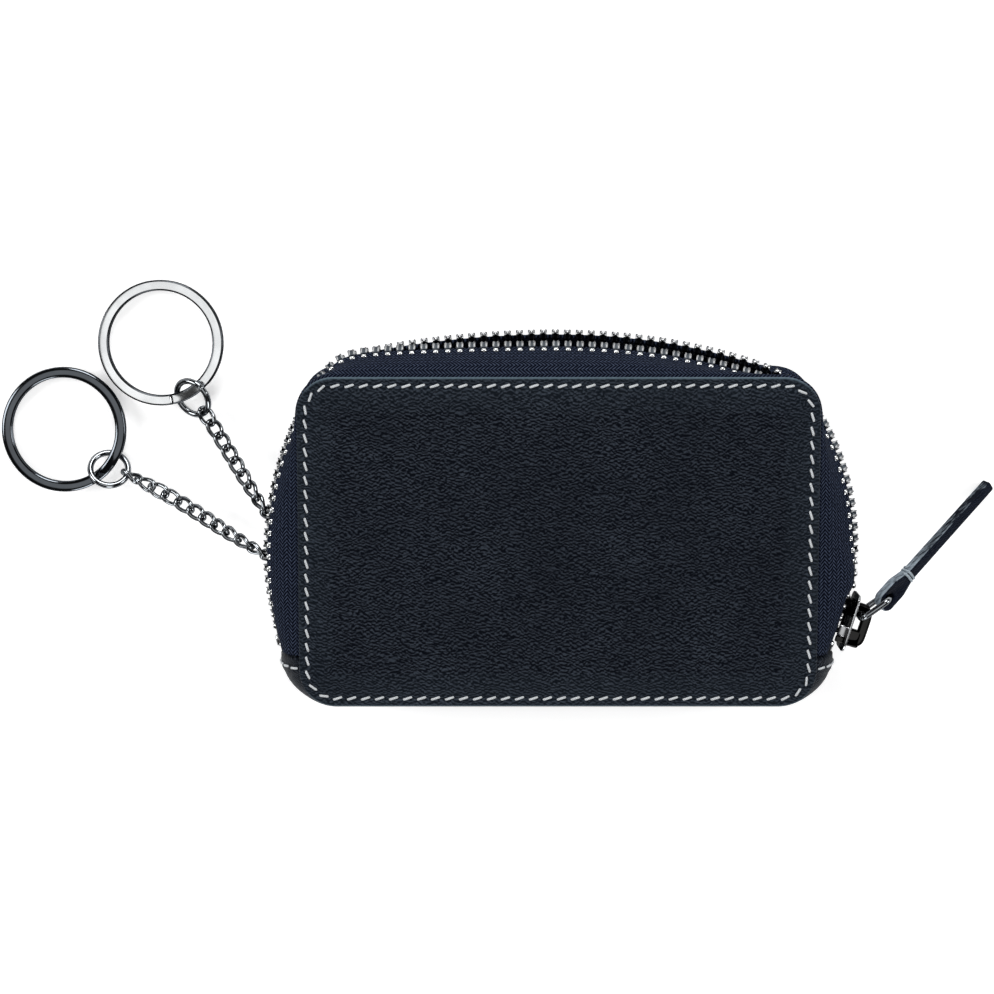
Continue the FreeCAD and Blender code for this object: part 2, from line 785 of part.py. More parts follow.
def rounded_loop(low, high, corner):
    """A rounded rectangle in the plane of X and Z, between two opposite corners."""
    bend = corner * (1 - math.sqrt(0.5))
    runs = [
        (Vector(low.x + corner, 0, low.z), Vector(high.x - corner, 0, low.z)),
        (Vector(high.x, 0, low.z + corner), Vector(high.x, 0, high.z - corner)),
        (Vector(high.x - corner, 0, high.z), Vector(low.x + corner, 0, high.z)),
        (Vector(low.x, 0, high.z - corner), Vector(low.x, 0, low.z + corner)),
    ]
    knees = [
        Vector(high.x - bend, 0, low.z + bend),
        Vector(high.x - bend, 0, high.z - bend),
        Vector(low.x + bend, 0, high.z - bend),
        Vector(low.x + bend, 0, low.z + bend),
    ]
    edges = []
    for index, (start, end) in enumerate(runs):
        following = runs[(index + 1) % len(runs)][0]
        edges.append(Part.makeLine(start, end))
        edges.append(Part.Arc(end, knees[index], following).toShape())
    return Part.Wire(edges)


def make_pull_link():
    """A round wire bent into a long loop; X runs along it from the end under the bridge."""
    path = rounded_loop(Vector(0, 0, -size.link_half), Vector(size.link_reach, 0, size.link_half),
                        size.link_corner)
    start = Vector(size.link_corner, 0, -size.link_half)
    section = Part.Wire([Part.makeCircle(size.link_wire / 2, start, Vector(1, 0, 0))])
    shaped("pull_link", path.makePipeShell([section], True, False), pull_link_placement())


def strap_placement():
    """X along the strap, Z out of its face, origin at the middle of the hole."""
    hole = pull_link_placement().multVec(Vector(size.link_reach, 0, 0))
    turn = Rotation(UP, size.strap_heading)
    turn = turn.multiply(Rotation(Vector(0, 1, 0), size.strap_pitch))
    turn = turn.multiply(Rotation(Vector(1, 0, 0), size.strap_roll))
    return Placement(hole, turn)


def make_strap():
    back, end = total(strap_back=-1), total(strap_end_half=1)
    paddle, paddle_end = total(strap_paddle_half=1), total(strap_paddle_length=1)
    paddle_start = total(strap_back=-1, strap_end_half=1)
    neck, neck_half = total(strap_neck=1), total(strap_neck_half=1)
    tail, tail_half = total(strap_tail=1), total(strap_tail_half=1)
    upper = [(back, end), (paddle_start, paddle), (paddle_end, paddle), (neck, neck_half),
             (tail, tail_half)]
    corners = [(along, minus(half)) for along, half in upper] + upper[::-1]
    for label, base in (("pull_strap_top", total()), ("pull_strap_under", total(strap_layer=-1))):
        body = new_body(label)
        sketch = outline_sketch(body, label + "_outline", "XY_Plane", corners, base)
        pad(body, label + "_leather", sketch, total(strap_layer=1))
        round_post(body, "SubtractiveCylinder", label + "_hole", (total(), total(), base),
                   total(strap_hole=0.5), total(strap_layer=1))
        body.Placement = strap_placement()


# Anchor: a ring in a folded leather tab, riveted through the back lining


def anchor_height():
    """Height of the ring's wire: the middle of the tab's loop, which lies on the lining."""
    return (size.leather_thick + size.layer_thick + size.lining_thick + size.tab_bore / 2
            + size.tab_leather)


def anchor_across():
    """Place of the anchor ring along the case, measured from the panel's left edge."""
    return size.anchor_inset - size.panel_width / 2


def rivet_centre():
    across = total(panel_width=-0.5, anchor_inset=1, anchor_radius=1, tab_length=1, rivet_setback=-1)
    return across, total(anchor_y=1)


def make_anchor():
    ring = doc.addObject("Part::Torus", "anchor_ring")
    ring.Label = "anchor_ring"
    bind(ring, "Radius1", total(anchor_radius=1))
    bind(ring, "Radius2", total(anchor_wire=0.5))
    ring.Placement = Placement(Vector(anchor_across(), size.anchor_y, anchor_height()), Rotation())
    parts["anchor_ring"] = ring
    # the tab: a rolled loop and two leaves, made from drums and a slab
    loop_x = anchor_across() + size.anchor_radius
    floor = anchor_height() - size.tab_bore / 2 - size.tab_leather
    axis = Rotation(Vector(1, 0, 0), -90)
    at = Vector(loop_x, size.anchor_y - size.tab_width / 2, anchor_height())
    drum = doc.addObject("Part::Cylinder", "tab_drum")
    bind(drum, "Radius", total(tab_bore=0.5, tab_leather=1))
    bind(drum, "Height", total(tab_width=1))
    drum.Placement = Placement(at, axis)
    leaves = doc.addObject("Part::Box", "tab_leaves")
    bind(leaves, "Length", total(tab_length=1))
    bind(leaves, "Width", total(tab_width=1))
    bind(leaves, "Height", total(tab_leather=2))
    leaves.Placement = Placement(Vector(loop_x, at.y, floor), Rotation())
    rolled = doc.addObject("Part::Fuse", "tab_rolled")
    rolled.Base, rolled.Tool = drum, leaves
    bore = doc.addObject("Part::Cylinder", "tab_bore_hole")
    bind(bore, "Radius", total(tab_bore=0.5))
    bind(bore, "Height", total(tab_width=1))
    bore.Placement = Placement(at, axis)
    looped = doc.addObject("Part::Cut", "tab_looped")
    looped.Base, looped.Tool = rolled, bore
    hole = doc.addObject("Part::Cylinder", "tab_rivet_hole")
    bind(hole, "Radius", total(rivet_shank=0.5, rivet_clear=0.5))
    bind(hole, "Height", total(tab_leather=2))
    across, along = rivet_centre()
    hole.Placement = Placement(Vector(across.value, along.value, floor), Rotation())
    tab = doc.addObject("Part::Cut", "anchor_tab")
    tab.Label = "anchor_tab"
    tab.Base, tab.Tool = looped, hole
    parts["anchor_tab"] = tab
    # the rivet: foot in the board, shank, and head on the tab
    rivet = new_body("anchor_rivet")
    foot_base = total(leather_thick=1)
    shank_base = total(leather_thick=1, layer_thick=1)
    head_base = total(leather_thick=1, layer_thick=1, lining_thick=1, tab_leather=2)
    round_post(rivet, "AdditiveCylinder", "rivet_foot", (across, along, foot_base), total(rivet_head=0.5),
               total(layer_thick=1))
    round_post(rivet, "AdditiveCylinder", "rivet_shank_post", (across, along, shank_base),
               total(rivet_shank=0.5), total(lining_thick=1, tab_leather=2))
    cap = round_post(rivet, "AdditiveCylinder", "rivet_cap", (across, along, head_base),
                     total(rivet_head=0.5), total(rivet_head_thick=1))
    doc.recompute()
    round_edges(rivet, "rivet_dome", cap, [face_towards(cap.Shape, UP)], total(rivet_head_thick=0.5))


# Curb chains: twisted oval links from the anchor ring, over the back row of teeth, to the jump rings


def link_half_length():
    """Half the length of a link's wire line, so that neighbours hook with a little slack."""
    return (size.chain_pitch + size.chain_wire + size.chain_slack) / 2


def link_wire_point(turn):
    """A point of the link's wire line: a full oval, twisted about its long axis."""
    across, along = math.sin(turn), math.cos(turn)
    reach_out = link_half_length() * math.copysign(abs(along) ** LINK_OVAL_SHARE, along)
    aside = size.chain_half_width * math.copysign(abs(across) ** LINK_OVAL_SHARE, across)
    twist = math.radians(size.chain_twist) * reach_out / link_half_length()
    return Vector(reach_out, aside * math.cos(twist), aside * math.sin(twist))


def link_half(start, end):
    """Half a link: a round wire swept along half of the wire line."""
    step = LINK_TURN_STEP
    points = [link_wire_point(turn) for turn in spread(start, end, LINK_STEPS)]
    first = (link_wire_point(start + step) - link_wire_point(start - step)).normalize()
    last = (link_wire_point(end + step) - link_wire_point(end - step)).normalize()
    line = Part.BSplineCurve()
    line.interpolate(Points=points, InitialTangent=first, FinalTangent=last)
    section = Part.Wire([Part.makeCircle(size.chain_wire / 2, points[0], first)])
    return Part.Wire([line.toShape()]).makePipeShell([section], True, False)


def link_solid():
    right = link_half(-math.pi / 2, math.pi / 2)
    left = link_half(math.pi / 2, 3 * math.pi / 2)
    return right.fuse(left).removeSplitter().Solids[0]


def chain_route(name):
    """Plan of a chain: its start on the anchor ring, its exit over the zip, and its heading outside."""
    leave = math.radians(getattr(size, "chain_%s_leave" % name))
    heading = math.radians(getattr(size, "chain_%s_heading" % name))
    start = Vector(anchor_across() + size.anchor_radius * math.cos(leave),
                   size.anchor_y + size.anchor_radius * math.sin(leave), 0)
    exit_place = Vector(-size.panel_width / 2 - getattr(size, "chain_%s_exit_out" % name),
                        getattr(size, "chain_%s_exit_y" % name), 0)
    return start, exit_place, Vector(math.cos(heading), math.sin(heading), 0)


def chain_point(name, distance):
    """A point of the chain's line, by its plan distance from the anchor ring."""
    start, exit_place, way = chain_route(name)
    inside = (exit_place - start).Length
    if distance <= inside:
        # a curve that leaves the ring straight and turns into the outside heading
        done = distance / inside
        left = 1 - done
        bend = exit_place - way * (inside / 2)
        spot = start * left ** 2 + bend * (2 * left * done) + exit_place * done ** 2
        spot.z = size.chain_crest - (size.chain_crest - anchor_height()) * left ** 2
        return spot
    spot = exit_place + way * (distance - inside)
    fall = smooth((distance - inside) / size.chain_drop)
    spot.z = size.chain_crest + (size.jump_lift - size.chain_crest) * fall
    return spot


def chain_joints(name, links):
    """Places where the links hook: each one chain pitch from the last, along the chain's line."""
    start = chain_point(name, 0)
    way = (chain_point(name, size.chain_pitch) - start).normalize()
    hooks = [start - way * ((size.anchor_wire + size.chain_slack) / 2)]
    distance = 0
    for _ in range(links):
        low, high = distance, distance + size.chain_pitch
        for _ in range(HOOK_HALVINGS):
            guess = (low + high) / 2
            if (chain_point(name, guess) - hooks[-1]).Length < size.chain_pitch:
                low = guess
            else:
                high = guess
        distance = (low + high) / 2
        hooks.append(chain_point(name, distance))
    return hooks


def frame_along(start, end, roll):
    """Placement halfway between two places, X along them, turned about X by roll."""
    along = (end - start).normalize()
    side = UP.cross(along).normalize()
    up = along.cross(side)
    matrix = Matrix(along.x, side.x, up.x, 0, along.y, side.y, up.y, 0, along.z, side.z, up.z, 0, 0, 0, 0, 1)
    rotation = Placement(matrix).Rotation.multiply(Rotation(Vector(1, 0, 0), roll))
    return Placement((start + end) * 0.5, rotation)


def chain_rolls(name, links):
    """Roll of every link: upright on the anchor ring, across the jump ring's wire at the far end."""
    first = size.chain_twist - 90
    tilt = size.jump_tilt if name == "a" else -size.jump_tilt
    last = 90 - size.chain_twist - tilt
    return spread(first, last, links - 1)


def chain_placements(name, links):
    hooks = chain_joints(name, links)
    rolls = chain_rolls(name, links)
    return [frame_along(here, there, roll) for here, there, roll in zip(hooks, hooks[1:], rolls)]


def make_chains():
    link = link_solid()
    for name, links in (("a", CHAIN_A_LINKS), ("b", CHAIN_B_LINKS)):
        for index, placement in enumerate(chain_placements(name, links), start=1):
            shaped("chain_%s_link_%02d" % (name, index), link.copy(), placement)


# Jump rings, tilted, and split key rings that lie on the table


def bearing(name):
    """Direction from a key ring's centre to its jump ring."""
    turn = math.radians(getattr(size, "ring_%s_bearing" % name))
    return Vector(math.cos(turn), math.sin(turn), 0)


def jump_heading(name):
    """Direction from the chain's end to the jump ring's centre."""
    turn = math.radians(getattr(size, "jump_%s_heading" % name))
    return Vector(math.cos(turn), math.sin(turn), 0)


def jump_centre(name):
    """The last link hangs on the jump ring's wire, which lies inside that link's loop."""
    links = CHAIN_A_LINKS if name == "a" else CHAIN_B_LINKS
    hooks = chain_joints(name, links)
    way = (hooks[-1] - hooks[-2]).normalize()
    wire = hooks[-1] - way * ((size.jump_wire + size.chain_slack) / 2)
    seat = wire + jump_heading(name) * size.jump_radius
    return Vector(seat.x, seat.y, size.jump_lift)


def jump_placement(name):
    """The ring's plane holds the line to the chain and a line that climbs by the tilt."""
    out = jump_heading(name) * -1
    aside = UP.cross(out)
    tilt = math.radians(size.jump_tilt if name == "a" else -size.jump_tilt)
    climb = aside * math.cos(tilt) + UP * math.sin(tilt)
    normal = out.cross(climb)
    matrix = Matrix(out.x, climb.x, normal.x, 0, out.y, climb.y, normal.y, 0, out.z, climb.z, normal.z, 0,
                    0, 0, 0, 1)
    return Placement(jump_centre(name), Placement(matrix).Rotation)


def coil_section(height):
    """Rounded cross-section of the ring's wire in the plane of X and Z, its middle at a height."""
    outer = size.ring_diameter / 2
    low = Vector(outer - size.ring_band, 0, height - size.ring_coil / 2)
    high = Vector(outer, 0, height + size.ring_coil / 2)
    return rounded_loop(low, high, size.ring_edge_round)


def split_ring_solid():
    """Two turns of flat wire: a lower coil, a jog up, and an upper coil. X points at the jog's middle."""
    level = (size.ring_coil + size.ring_coil_gap) / 2
    half_jog = size.ring_jog / 2
    turn = 360 - size.ring_jog
    lower = Part.Face(coil_section(-level)).revolve(Vector(), UP, turn)
    upper = Part.Face(coil_section(level)).revolve(Vector(), UP, turn)
    wires = []
    for step in range(CORNER_STEPS + 1):
        share = step / CORNER_STEPS
        wire = coil_section(level * (2 * smooth(share) - 1))
        wire.rotate(Vector(), UP, turn + size.ring_jog * share)
        wires.append(wire)
    jog = Part.makeLoft(wires, True, False)
    solid = lower.fuse([upper, jog]).removeSplitter()
    solid.rotate(Vector(), UP, half_jog)
    return solid


def ring_placement(name):
    """The ring lies on its far edge, lifted at the jump ring by the wire under it."""
    out = bearing(name)
    seat = jump_centre(name)
    tilt = math.radians(size.ring_tilt)
    height = size.ring_coil + size.ring_coil_gap / 2 + size.ring_diameter / 2 * math.sin(tilt)
    reach_in = getattr(size, "ring_%s_reach" % name)
    centre = Vector(seat.x - out.x * reach_in, seat.y - out.y * reach_in, height)
    along = out * math.cos(tilt) + UP * math.sin(tilt)
    side = UP.cross(out)
    up = along.cross(side)
    matrix = Matrix(along.x, side.x, up.x, 0, along.y, side.y, up.y, 0, along.z, side.z, up.z, 0, 0, 0, 0, 1)
    return Placement(centre, Placement(matrix).Rotation)


def make_rings():
    for name in ("a", "b"):
        jump = doc.addObject("Part::Torus", "jump_ring_" + name)
        jump.Label = "jump_ring_" + name
        bind(jump, "Radius1", total(jump_radius=1))
        bind(jump, "Radius2", total(jump_wire=0.5))
        jump.Placement = jump_placement(name)
        parts["jump_ring_" + name] = jump
        shaped("key_ring_" + name, split_ring_solid(), ring_placement(name))


def build():
    make_flat_layers()
    make_tapes()
    make_teeth()
    make_gusset()
    make_slider()
    make_bridge()
    make_pull_link()
    make_strap()
    make_anchor()
    make_chains()
    make_rings()
    doc.recompute()


def check_and_write():
    """Stop on anything failed or broken, then write every piece to its own file."""
    for thing in doc.Objects:
        if "Invalid" in thing.State or "Error" in thing.State:
            raise RuntimeError("%s failed: %s" % (thing.Label, thing.State))
    for label, piece in parts.items():
        if piece.Shape.isNull() or not piece.Shape.isValid() or not piece.Shape.Solids:
            raise RuntimeError("%s has no valid solid" % label)
    os.makedirs("parts", exist_ok=True)
    for label, piece in parts.items():
        piece.Shape.exportStep("parts/%s.step" % label)
    print("%d pieces written" % len(parts))


build()
check_and_write()
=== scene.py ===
"""Looks of a zip-around leather key case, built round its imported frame. Metres, same axes as the frame."""

import json

import bmesh
import bpy
import numpy as np
from bpy.props import FloatProperty, FloatVectorProperty, IntProperty, PointerProperty
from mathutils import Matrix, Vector

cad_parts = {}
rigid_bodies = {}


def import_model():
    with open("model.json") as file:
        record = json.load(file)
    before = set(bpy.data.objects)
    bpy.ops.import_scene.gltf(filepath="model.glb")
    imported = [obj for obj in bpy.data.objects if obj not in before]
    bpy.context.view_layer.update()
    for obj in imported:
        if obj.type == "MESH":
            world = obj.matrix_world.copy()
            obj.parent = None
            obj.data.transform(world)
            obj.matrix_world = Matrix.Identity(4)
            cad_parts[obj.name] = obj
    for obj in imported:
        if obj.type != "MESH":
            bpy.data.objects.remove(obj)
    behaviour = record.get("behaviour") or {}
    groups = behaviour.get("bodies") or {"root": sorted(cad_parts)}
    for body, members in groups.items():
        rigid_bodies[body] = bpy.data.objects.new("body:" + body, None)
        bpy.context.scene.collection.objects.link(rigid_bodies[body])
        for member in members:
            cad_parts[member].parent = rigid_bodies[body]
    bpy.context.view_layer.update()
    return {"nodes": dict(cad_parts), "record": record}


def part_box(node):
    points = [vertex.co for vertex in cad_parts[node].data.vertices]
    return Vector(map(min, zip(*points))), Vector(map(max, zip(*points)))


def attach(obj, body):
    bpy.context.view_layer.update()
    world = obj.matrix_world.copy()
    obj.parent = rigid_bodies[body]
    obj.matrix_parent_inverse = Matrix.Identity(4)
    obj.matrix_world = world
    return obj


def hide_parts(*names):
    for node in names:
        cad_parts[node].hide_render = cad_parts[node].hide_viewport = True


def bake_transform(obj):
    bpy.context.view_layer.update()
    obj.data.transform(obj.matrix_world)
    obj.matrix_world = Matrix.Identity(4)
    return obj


bl_info = {
    "name": "Zip Key Case",
    "version": (1, 0, 0),
    "blender": (4, 5, 0),
    "location": "View3D > Sidebar > Key Case",
    "description": "Leather, zip, pull, chains and split rings of a zip-around key case",
    "category": "Add Mesh",
}

for leftover in list(bpy.data.objects):
    bpy.data.objects.remove(leftover)
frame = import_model()


# Properties


def length(name, description, millimetres):
    """A length that a user may change, given in millimetres and kept in metres."""
    return FloatProperty(name=name, description=description, default=millimetres / 1000, unit="LENGTH",
                         precision=5)


def angle(name, description, degrees):
    """An angle that a user may change, given in degrees and kept in radians."""
    return FloatProperty(name=name, description=description, default=float(np.radians(degrees)),
                         unit="ROTATION", subtype="ANGLE")


def share(name, description, value):
    """A plain number that a user may change."""
    return FloatProperty(name=name, description=description, default=value)


def colour(name, description, rgb):
    """A colour that a user may change, as three linear parts."""
    return FloatVectorProperty(name=name, description=description, default=rgb, subtype="COLOR", size=3,
                               min=0.0, max=1.0)


class KEYCASE_PG_case(bpy.types.PropertyGroup):
    """Leather panels, stitching, lining and gusset"""

    panel_width: length("Panel width", "Width of the leather panels", 101.0)
    panel_length: length("Panel length", "Length of the leather panels", 64.5)
    panel_corner: length("Panel corner", "Corner radius of the panels", 7.0)
    case_thick: length("Case thickness", "From the back leather to the front leather", 22.0)
    leather_thick: length("Leather thickness", "Thickness of a panel", 1.2)
    layer_thick: length("Layer thickness", "Thickness of tape and gusset", 0.6)
    lining_thick: length("Lining thickness", "Thickness of the lining cloth", 0.4)
    lining_inset: length("Lining inset", "Lining edge inside the panel edge", 2.0)
    seam_width: length("Seam width", "Width of tape sewn under the panel", 5.0)
    rim_round: length("Rim round", "Rounding of the turned leather edge", 0.50)
    pillow: length("Pillow", "Rise of the leather inside its stitch line", 0.3)
    groove: length("Stitch groove", "Depth of the pressed line under the stitches", 0.16)
    stitch_inset: length("Stitch inset", "Stitch line inside the panel edge", 1.62)
    stitch_pitch: length("Stitch pitch", "Distance between stitches", 2.72)
    stitch_length: length("Stitch length", "Length of thread that shows", 2.1)
    stitch_thick: length("Stitch thickness", "Thickness of the sewing thread", 0.47)
    stitch_slant: angle("Stitch slant", "Slant of each stitch against its line", 18.0)
    gusset_side: length("Gusset side bulge", "Bulge of the gusset at its ends", 3.6)
    gusset_bottom: length("Gusset bottom bulge", "Bulge of the gusset along the bottom", 1.4)
    gusset_gap: length("Gusset gap", "Gap between gusset end and zip end", 0.3)


class KEYCASE_PG_zip(bpy.types.PropertyGroup):
    """Plan and height of the two rows, their tapes and their teeth"""

    end_y: length("Zip end", "Height of both zip ends on the plan", -22.5)
    right_radius: length("Right bow radius", "Radius of the zip on the slider's side", 50.0)
    right_rise: length("Right bow rise", "How far the right bow stands out", 8.1)
    right_y: length("Right bow centre", "Height of the right bow's centre", -2.0)
    left_radius: length("Left bow radius", "Radius of the zip on the chains' side", 65.0)
    left_rise: length("Left bow rise", "How far the left bow stands out", 6.2)
    left_y: length("Left bow centre", "Height of the left bow's centre", -4.3)
    top_radius: length("Top bow radius", "Radius of the zip along the top's right half", 135.0)
    front_left_radius: length("Front top left radius", "Front row's radius on the top's left half", 600.0)
    back_left_radius: length("Back top left radius", "Back row's radius on the top's left half", 200.0)
    front_top_rise: length("Front top rise", "How far the front row stands out at the top", 5.0)
    back_top_rise: length("Back top rise", "How far the back row stands out at the top", 6.9)
    softness: length("Softness", "Rounding between two bows", 2.0)
    right_gap: length("Right half gap", "Height of a row from the middle, right side", 2.6)
    front_top_gap: length("Front top half gap", "Height of the front row at the top", 3.2)
    back_top_gap: length("Back top half gap", "Height of the back row at the top", 2.8)
    front_left_gap: length("Front left half gap", "Height of the front row at the left", 4.0)
    back_left_gap: length("Back left half gap", "Height of the back row at the left", 4.4)
    left_end_gap: length("Left end half gap", "Height of both rows at their left end", 2.6)
    start_slope: angle("Start slope", "Slope of the tape where it leaves the seam", 20.0)
    end_slope: angle("End slope", "Slope of the tape's edge at its ends and on the right", 90.0)
    top_slope: angle("Top slope", "Slope of the tape's edge along the top", 57.0)
    right_slope: angle("Right slope", "Slope of the tape's edge above the slider", 50.0)
    right_draw: length("Right draw", "How far the open right row is drawn in", 0.7)
    slider_draw: length("Slider draw", "How far the rows are drawn in at the slider", 1.0)
    left_slope: angle("Left slope", "Slope of the tape's edge on the left", 65.0)
    slider_y: length("Slider height", "Height on the plan of the slider's mouth", -9.0)
    draw_run: length("Draw run", "Stretch in which the rows are drawn in below the slider's mouth", 4.0)
    open_run: length("Opening run", "Stretch in which the rows part above the slider's mouth", 10.0)
    open_top: length("Opening top", "Height on the plan where the right rows stop being drawn in", 25.25)
    open_fade: length("Opening fade", "Stretch in which that eases off", 6.0)
    handle_share: share("Curve share", "Fullness of the tape's curve", 0.42)
    tape_thick: length("Tape thickness", "Thickness of the woven tape", 0.6)
    bead: length("Tape bead", "Half thickness of the corded edge", 0.42)
    tooth_pitch: length("Tooth pitch", "Distance between teeth", 2.34)
    tooth_width: length("Tooth width", "Width of a tooth along the zip", 1.36)
    tooth_head: length("Tooth head", "Head past the tape's edge", 2.05)
    tooth_leg: length("Tooth leg", "Leg behind the tape's edge", 1.25)
    tooth_thick: length("Tooth thickness", "Thickness across the tape", 1.7)
    stop_width: length("Stop width", "Width of an end stop", 2.2)


class KEYCASE_PG_pull(bpy.types.PropertyGroup):
    """Slider, pull link and strap"""

    slider_angle: angle("Slider angle", "Where the slider stands on the right bow", -17.2)
    slider_length: length("Slider length", "Length along the zip", 11.6)
    mouth_half: length("Slider half width", "Half width of a plate", 4.9)
    rear_half: length("Slider end half width", "Half width of a plate's ends", 4.4)
    shoulder: length("Slider shoulder", "Length of the plate's sloping shoulder", 3.4)
    plate: length("Slider plate", "Thickness of a plate", 1.0)
    channel_half: length("Channel half", "Half the room between the plates", 1.45)
    slot_half: length("Slot half", "Half the slot between the flanges", 1.1)
    flange: length("Flange", "Width of a turned-in flange", 0.75)
    flange_top: length("Flange top", "Where the flanges end towards the mouth", 1.6)
    bridge_low: length("Bridge low end", "Bridge foot towards the rear", 4.9)
    bridge_high: length("Bridge high end", "Bridge foot towards the mouth", 4.3)
    bridge_rise: length("Bridge rise", "Height of the bridge on its plate", 3.3)
    bridge_thick: length("Bridge thickness", "Thickness of the bridge", 1.7)
    bridge_width: length("Bridge width", "Width of the bridge", 2.4)
    bridge_foot: length("Bridge foot", "Where the solid lower foot ends, behind the middle", 1.3)
    bridge_shoulder: length("Bridge shoulder", "Where the solid upper foot starts", 2.5)
    lip: length("Plate lip", "Thickness of the outer plate's rim", 0.45)
    link_wire: length("Link wire", "Wire of the pull link", 1.2)
    link_reach: length("Link reach", "Length of the pull link", 6.8)
    link_half: length("Link half width", "Half width of the pull link", 3.1)
    link_corner: length("Link corner", "Corner radius of the pull link", 1.4)
    link_seat: length("Link seat", "Link wire above the plate", 1.05)
    link_along: length("Link place", "Link wire along the bridge", 1.5)
    link_heading: angle("Link heading", "Direction of the pull link on the plan", 35.5)
    strap_heading: angle("Strap heading", "Direction of the strap on the plan", 45.0)
    strap_pitch: angle("Strap pitch", "How far the strap points down", 18.0)
    strap_roll: angle("Strap roll", "Turn of the strap about its length", 30.0)
    strap_layer: length("Strap layer", "Thickness of one leather layer", 0.9)
    strap_hole: length("Strap hole", "Hole that the link goes through", 2.1)
    strap_back: length("Strap back", "Paddle end behind the hole", 2.7)
    strap_end_half: length("Strap end half width", "Half width of the paddle's end", 1.2)
    strap_paddle_half: length("Strap paddle half width", "Half width of the paddle", 2.2)
    strap_paddle: length("Strap paddle length", "Full-width paddle past the hole", 2.6)
    strap_neck: length("Strap neck", "Place of the bound neck", 6.2)
    strap_neck_half: length("Strap neck half width", "Half width at the neck", 1.2)
    strap_tail: length("Strap tail", "Far end of the strap", 31.6)
    strap_tail_half: length("Strap tail half width", "Half width of the tail", 1.1)
    binding_width: length("Binding width", "Stretch of neck under the wound thread", 1.5)
    binding_thread: length("Binding thread", "Thickness of the wound thread", 0.52)
    binding_turns: IntProperty(name="Binding turns", description="Turns of wound thread", default=2)


class KEYCASE_PG_chain(bpy.types.PropertyGroup):
    """Chains, jump rings, split rings and anchor"""

    wire: length("Chain wire", "Wire of a chain link", 0.85)
    pitch: length("Chain pitch", "Distance between hooks", 3.05)
    slack: length("Chain slack", "Play between links", 0.06)
    half_width: length("Link half width", "Half width of a link's wire line", 1.18)
    twist: angle("Link twist", "Half twist of a curb link", 45.0)
    oval_share: share("Link oval share", "Power of the oval, below one is fuller", 0.8)
    jump_radius: length("Jump ring radius", "Radius of a jump ring's wire line", 3.75)
    jump_wire: length("Jump ring wire", "Wire of a jump ring", 1.22)
    inside_a: share("Inside share A", "Share of chain A between the two halves", 0.385)
    inside_b: share("Inside share B", "Share of chain B between the two halves", 0.267)
    edge_roll: angle("Edge roll", "Roll of the links where a chain leaves the case", -58.0)
    turn_share: share("Turn share", "Share of a chain in which it turns from edge on to flat", 0.33)
    jump_tilt: angle("Jump ring tilt", "Tilt of a jump ring", 38.0)
    jump_a_heading: angle("Jump heading A", "From chain A's end to its jump ring", 128.0)
    jump_b_heading: angle("Jump heading B", "From chain B's end to its jump ring", 165.0)
    jump_lift: length("Jump ring height", "Height of a jump ring's centre", 2.85)
    ring_diameter: length("Ring diameter", "Outside diameter of a split ring", 25.0)
    ring_band: length("Ring band", "Width of the ring's flat wire", 2.1)
    ring_coil: length("Ring coil", "Thickness of one turn", 0.95)
    ring_gap: length("Ring gap", "Gap between the two turns", 0.06)
    ring_round: length("Ring edge round", "Rounding of the ring's wire", 0.34)
    ring_jog: angle("Ring jog", "Stretch where the wire changes level", 38.0)
    ring_tilt: angle("Ring tilt", "Tilt of a ring on its jump ring", 3.5)
    ring_a_bearing: angle("Ring bearing A", "From ring A's centre to its jump ring", -60.1)
    ring_b_bearing: angle("Ring bearing B", "From ring B's centre to its jump ring", -41.0)
    ring_a_reach: length("Ring reach A", "From ring A's centre to its jump ring's centre", 12.6)
    ring_b_reach: length("Ring reach B", "From ring B's centre to its jump ring's centre", 12.0)
    anchor_radius: length("Anchor ring radius", "Radius of the anchor ring's wire line", 4.0)
    anchor_wire: length("Anchor ring wire", "Wire of the anchor ring", 1.0)


class KEYCASE_PG_colours(bpy.types.PropertyGroup):
    """Colours of leather, thread, cloth and metal"""

    leather: colour("Leather", "Near-black navy leather", (0.0010, 0.0020, 0.0047))
    leather_light: colour("Leather grain", "Lighter tops of the grain", (0.0370, 0.0455, 0.0610))
    # Painted highlight: a lighter bluish colour for the light caught on the rounded rim of the top and
    # bottom edges
    painted_rim_highlight: colour("Leather edge", "Worn bluish rim of the panels", (0.1000, 0.1450, 0.1800))
    pull: colour("Pull leather", "Dark face of the pull", (0.0024, 0.0040, 0.0100))
    pull_light: colour("Pull grain", "Lighter grain of the pull", (0.0110, 0.0165, 0.0330))
    pull_edge: colour("Pull edge", "Scuffed pale cut edge", (0.3000, 0.3550, 0.4100))
    tape: colour("Tape", "Navy zip tape", (0.0010, 0.0020, 0.0060))
    tape_light: colour("Tape yarn", "Lit yarns of the tape", (0.0490, 0.0630, 0.1030))
    thread: colour("Stitch thread", "Off-white sewing thread", (0.6800, 0.7100, 0.7400))
    binding: colour("Binding thread", "Pale grey-blue wound thread", (0.4000, 0.4700, 0.5300))
    lining: colour("Lining", "Dark navy woven lining", (0.0160, 0.0190, 0.0320))
    board: colour("Board", "Fibre board between leather and lining", (0.2400, 0.1900, 0.1300))
    nickel: colour("Ring nickel", "Bright nickel of chains and rings", (0.9300, 0.9500, 0.9600))
    chain_nickel: colour("Chain nickel", "Darker nickel of chains and jump rings", (0.2600, 0.2750, 0.2900))
    # Painted shade: a darker copy of the nickel, for the shade on ring B and in the teeth's grooves and
    # pockets
    dark_ring: colour("Dark ring nickel", "Darker nickel of the domed ring", (0.1000, 0.1100, 0.1220))
    # Painted shade: near-black nickel for the dark rims of ring A
    painted_dark_rim_nickel: colour("Edge nickel", "Dulled edges of the flat ring", (0.0600, 0.0650, 0.0720))
    zip_nickel: colour("Zip nickel", "Greyer nickel of the teeth", (0.5000, 0.5100, 0.5200))
    dark_nickel: colour("Dark nickel", "Polished dark nickel of the slider", (0.0300, 0.0295, 0.0290))
    floor: colour("Floor", "Pale studio floor", (0.9000, 0.9000, 0.9000))


# Whole-array helpers


